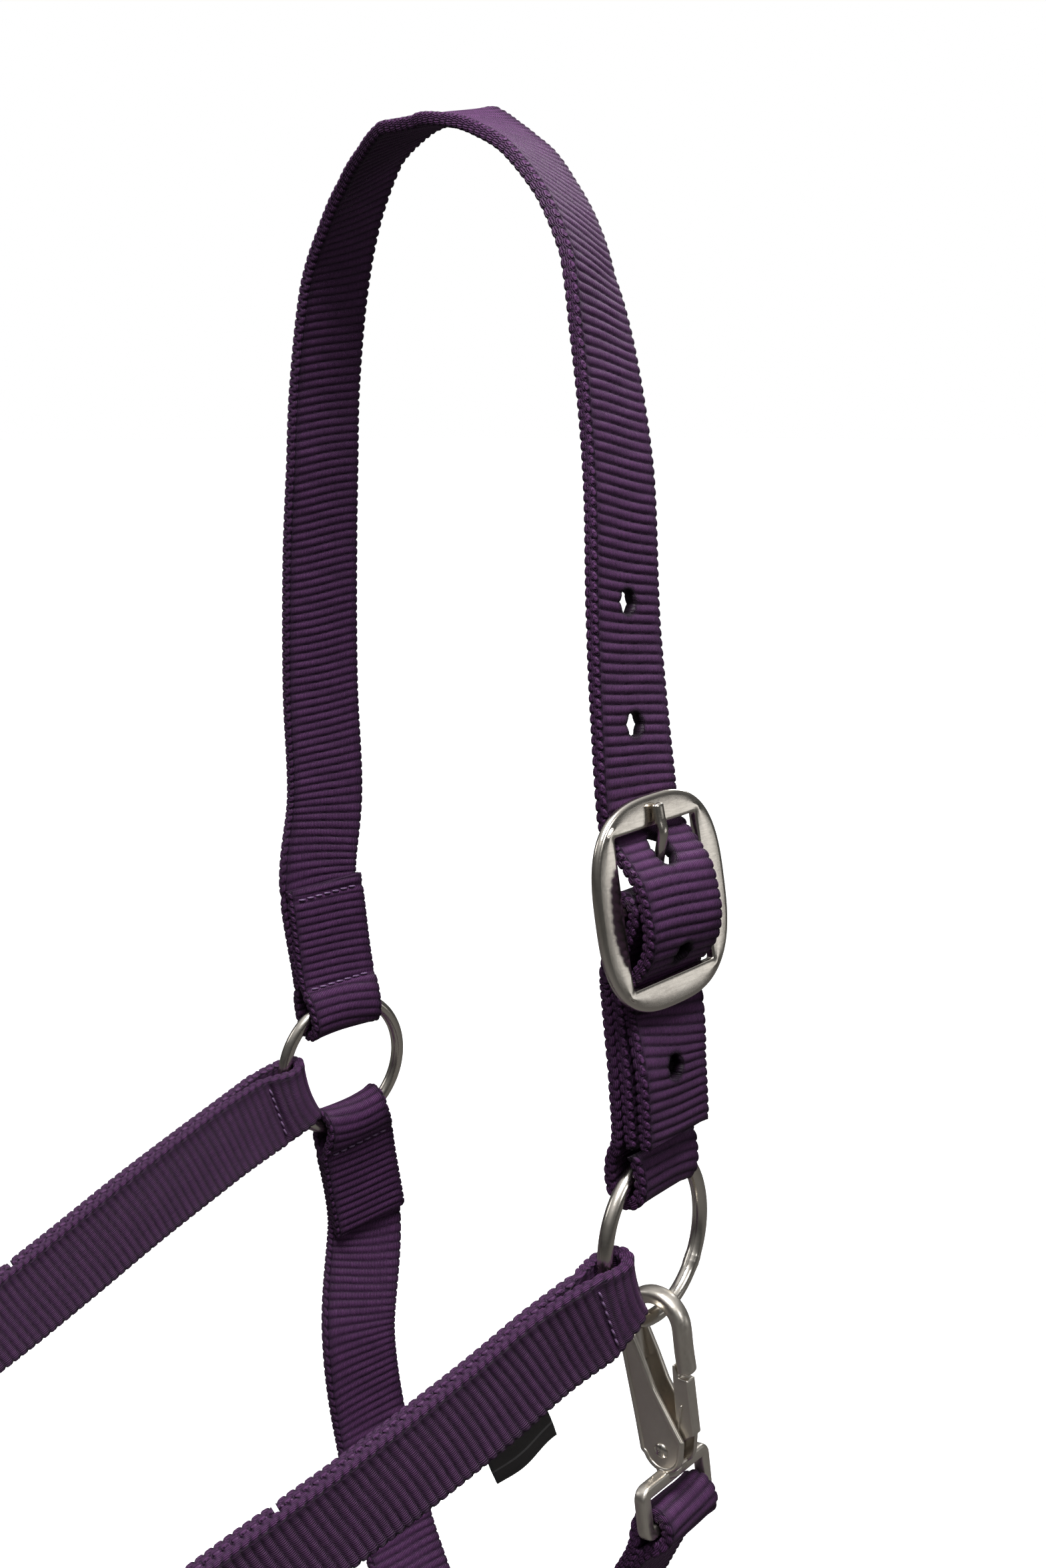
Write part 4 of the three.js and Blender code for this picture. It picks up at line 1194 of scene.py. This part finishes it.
round_ring("near_upper_ring", "near_ring", near_ring, RING_RADIUS, RING_WIRE, -38)
round_ring("far_upper_ring", "far_ring", far_ring, RING_RADIUS, RING_WIRE, -150)
round_ring("lead_ring", "lead", lead_ring, LEAD_RING_RADIUS, LEAD_RING_WIRE, 200)
square_ring("near_square_ring", near_square)
square_ring("far_square_ring", far_square)
buckle_plate()
buckle_tongue()
snap_casting()
snap_lever()
snap_rivet()
snap_spring()
sewn_label()


# ---- Camera, light and floor ----

CAMERA_AZIMUTH, CAMERA_ELEVATION = math.radians(50), math.radians(12.17)
CAMERA_PLACE = vec(365.2, -291.6, 197.7)
FOCAL_SHARE = 2800 / 2351


def make_camera():
    a, e = CAMERA_AZIMUTH, CAMERA_ELEVATION
    right = Vector((math.cos(a), math.sin(a), 0))
    back = Vector((math.sin(a) * math.cos(e), -math.cos(a) * math.cos(e), math.sin(e)))
    data = bpy.data.cameras.new("camera")
    data.sensor_width = 36
    data.lens = 36 * FOCAL_SHARE
    data.clip_start, data.clip_end = 0.01, 50
    camera = bpy.data.objects.new("camera", data)
    axes = Matrix((right, back.cross(right), back)).transposed()
    camera.matrix_world = Matrix.Translation((CAMERA_PLACE + SHIFT) * MM) @ axes.to_4x4()
    bpy.context.scene.collection.objects.link(camera)
    bpy.context.scene.camera = camera


def area_light(name, place, target, size, power):
    data = bpy.data.lights.new(name, "AREA")
    data.shape = "DISK"
    data.size = size
    data.energy = power
    lamp = bpy.data.objects.new(name, data)
    place, target = Vector(place), Vector(target)
    lamp.rotation_mode = "QUATERNION"
    lamp.location = place
    lamp.rotation_quaternion = (target - place).to_track_quat("-Z", "Y")
    bpy.context.scene.collection.objects.link(lamp)


FLOOR_RADIUS = 12000


def make_floor():
    """A wide pale disc just under the halter."""
    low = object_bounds()[0].z / MM - 2 - SHIFT[2]
    turn = turns(96)
    rim = np.column_stack([np.cos(turn), np.sin(turn), 0 * turn]) * FLOOR_RADIUS
    n = Nodes.material("pale_floor")
    seen = n.add("ShaderNodeLightPath").outputs["Is Camera Ray"]
    look = n.finish(
        Base_Color=n.mix(seen, (0.07, 0.067, 0.064, 1), (0.82, 0.82, 0.82, 1)),
        Roughness=0.8,
        Emission_Color=(1, 1, 1, 1),
        Emission_Strength=n.math("MULTIPLY", seen, 0.75),
    )
    mesh = bpy.data.meshes.new("floor")
    places = (rim + vec(0, 0, low) + SHIFT * (0, 0, 1)) * MM
    mesh.from_pydata(places.tolist(), [], [list(range(96))])
    mesh.materials.append(look)
    made = bpy.data.objects.new("floor", mesh)
    bpy.context.scene.collection.objects.link(made)


def make_world():
    """A white backdrop for the camera. What lights and mirrors in the halter is a studio that is
    bright overhead and dim at eye level."""
    n = Nodes(bpy.data.worlds.new("studio"), "Background")
    place = n.add("ShaderNodeTexCoord").outputs["Generated"]
    height = n.add("ShaderNodeSeparateXYZ", {0: place}).outputs["Z"]
    ramp = n.add("ShaderNodeValToRGB", {"Fac": n.math("MULTIPLY_ADD", height, 0.5, 0.5)})
    stops = ((0.0, 0.04), (0.48, 0.04), (0.56, 0.08), (0.7, 0.13), (1.0, 0.9))
    elements = ramp.color_ramp.elements
    for i, (position, value) in enumerate(stops):
        stop = elements[i] if i < 2 else elements.new(position)
        stop.position = position
        stop.color = (value, value, value, 1)
    seen = n.add("ShaderNodeLightPath").outputs["Is Camera Ray"]
    backdrop = n.mix(seen, ramp.outputs["Color"], (1, 1, 1, 1))
    bpy.context.scene.world = n.finish(Color=backdrop, Strength=1.0)


make_camera()
make_world()
make_floor()
# Places and targets in metres. The card is what the buckle plate mirrors.
area_light("overhead", (0.25, -0.18, 0.55), (0, -0.05, -0.15), 0.45, 13.5)
area_light("near_side", (1.4, 0.5, 0.5), (0.05, 0, -0.2), 0.5, 3.2)
area_light("front_left", (-1.1, -1.0, 0.5), (0, 0, -0.2), 0.5, 1.2)
area_light("plate_card", (0.84, 1.05, -0.27), (0.088, -0.006, -0.18), 0.3, 0.26)
area_light("back_fill", (-0.5, 1.5, 0.6), (0, -0.05, -0.2), 0.5, 4)
bpy.context.scene.view_settings.view_transform = "Standard"
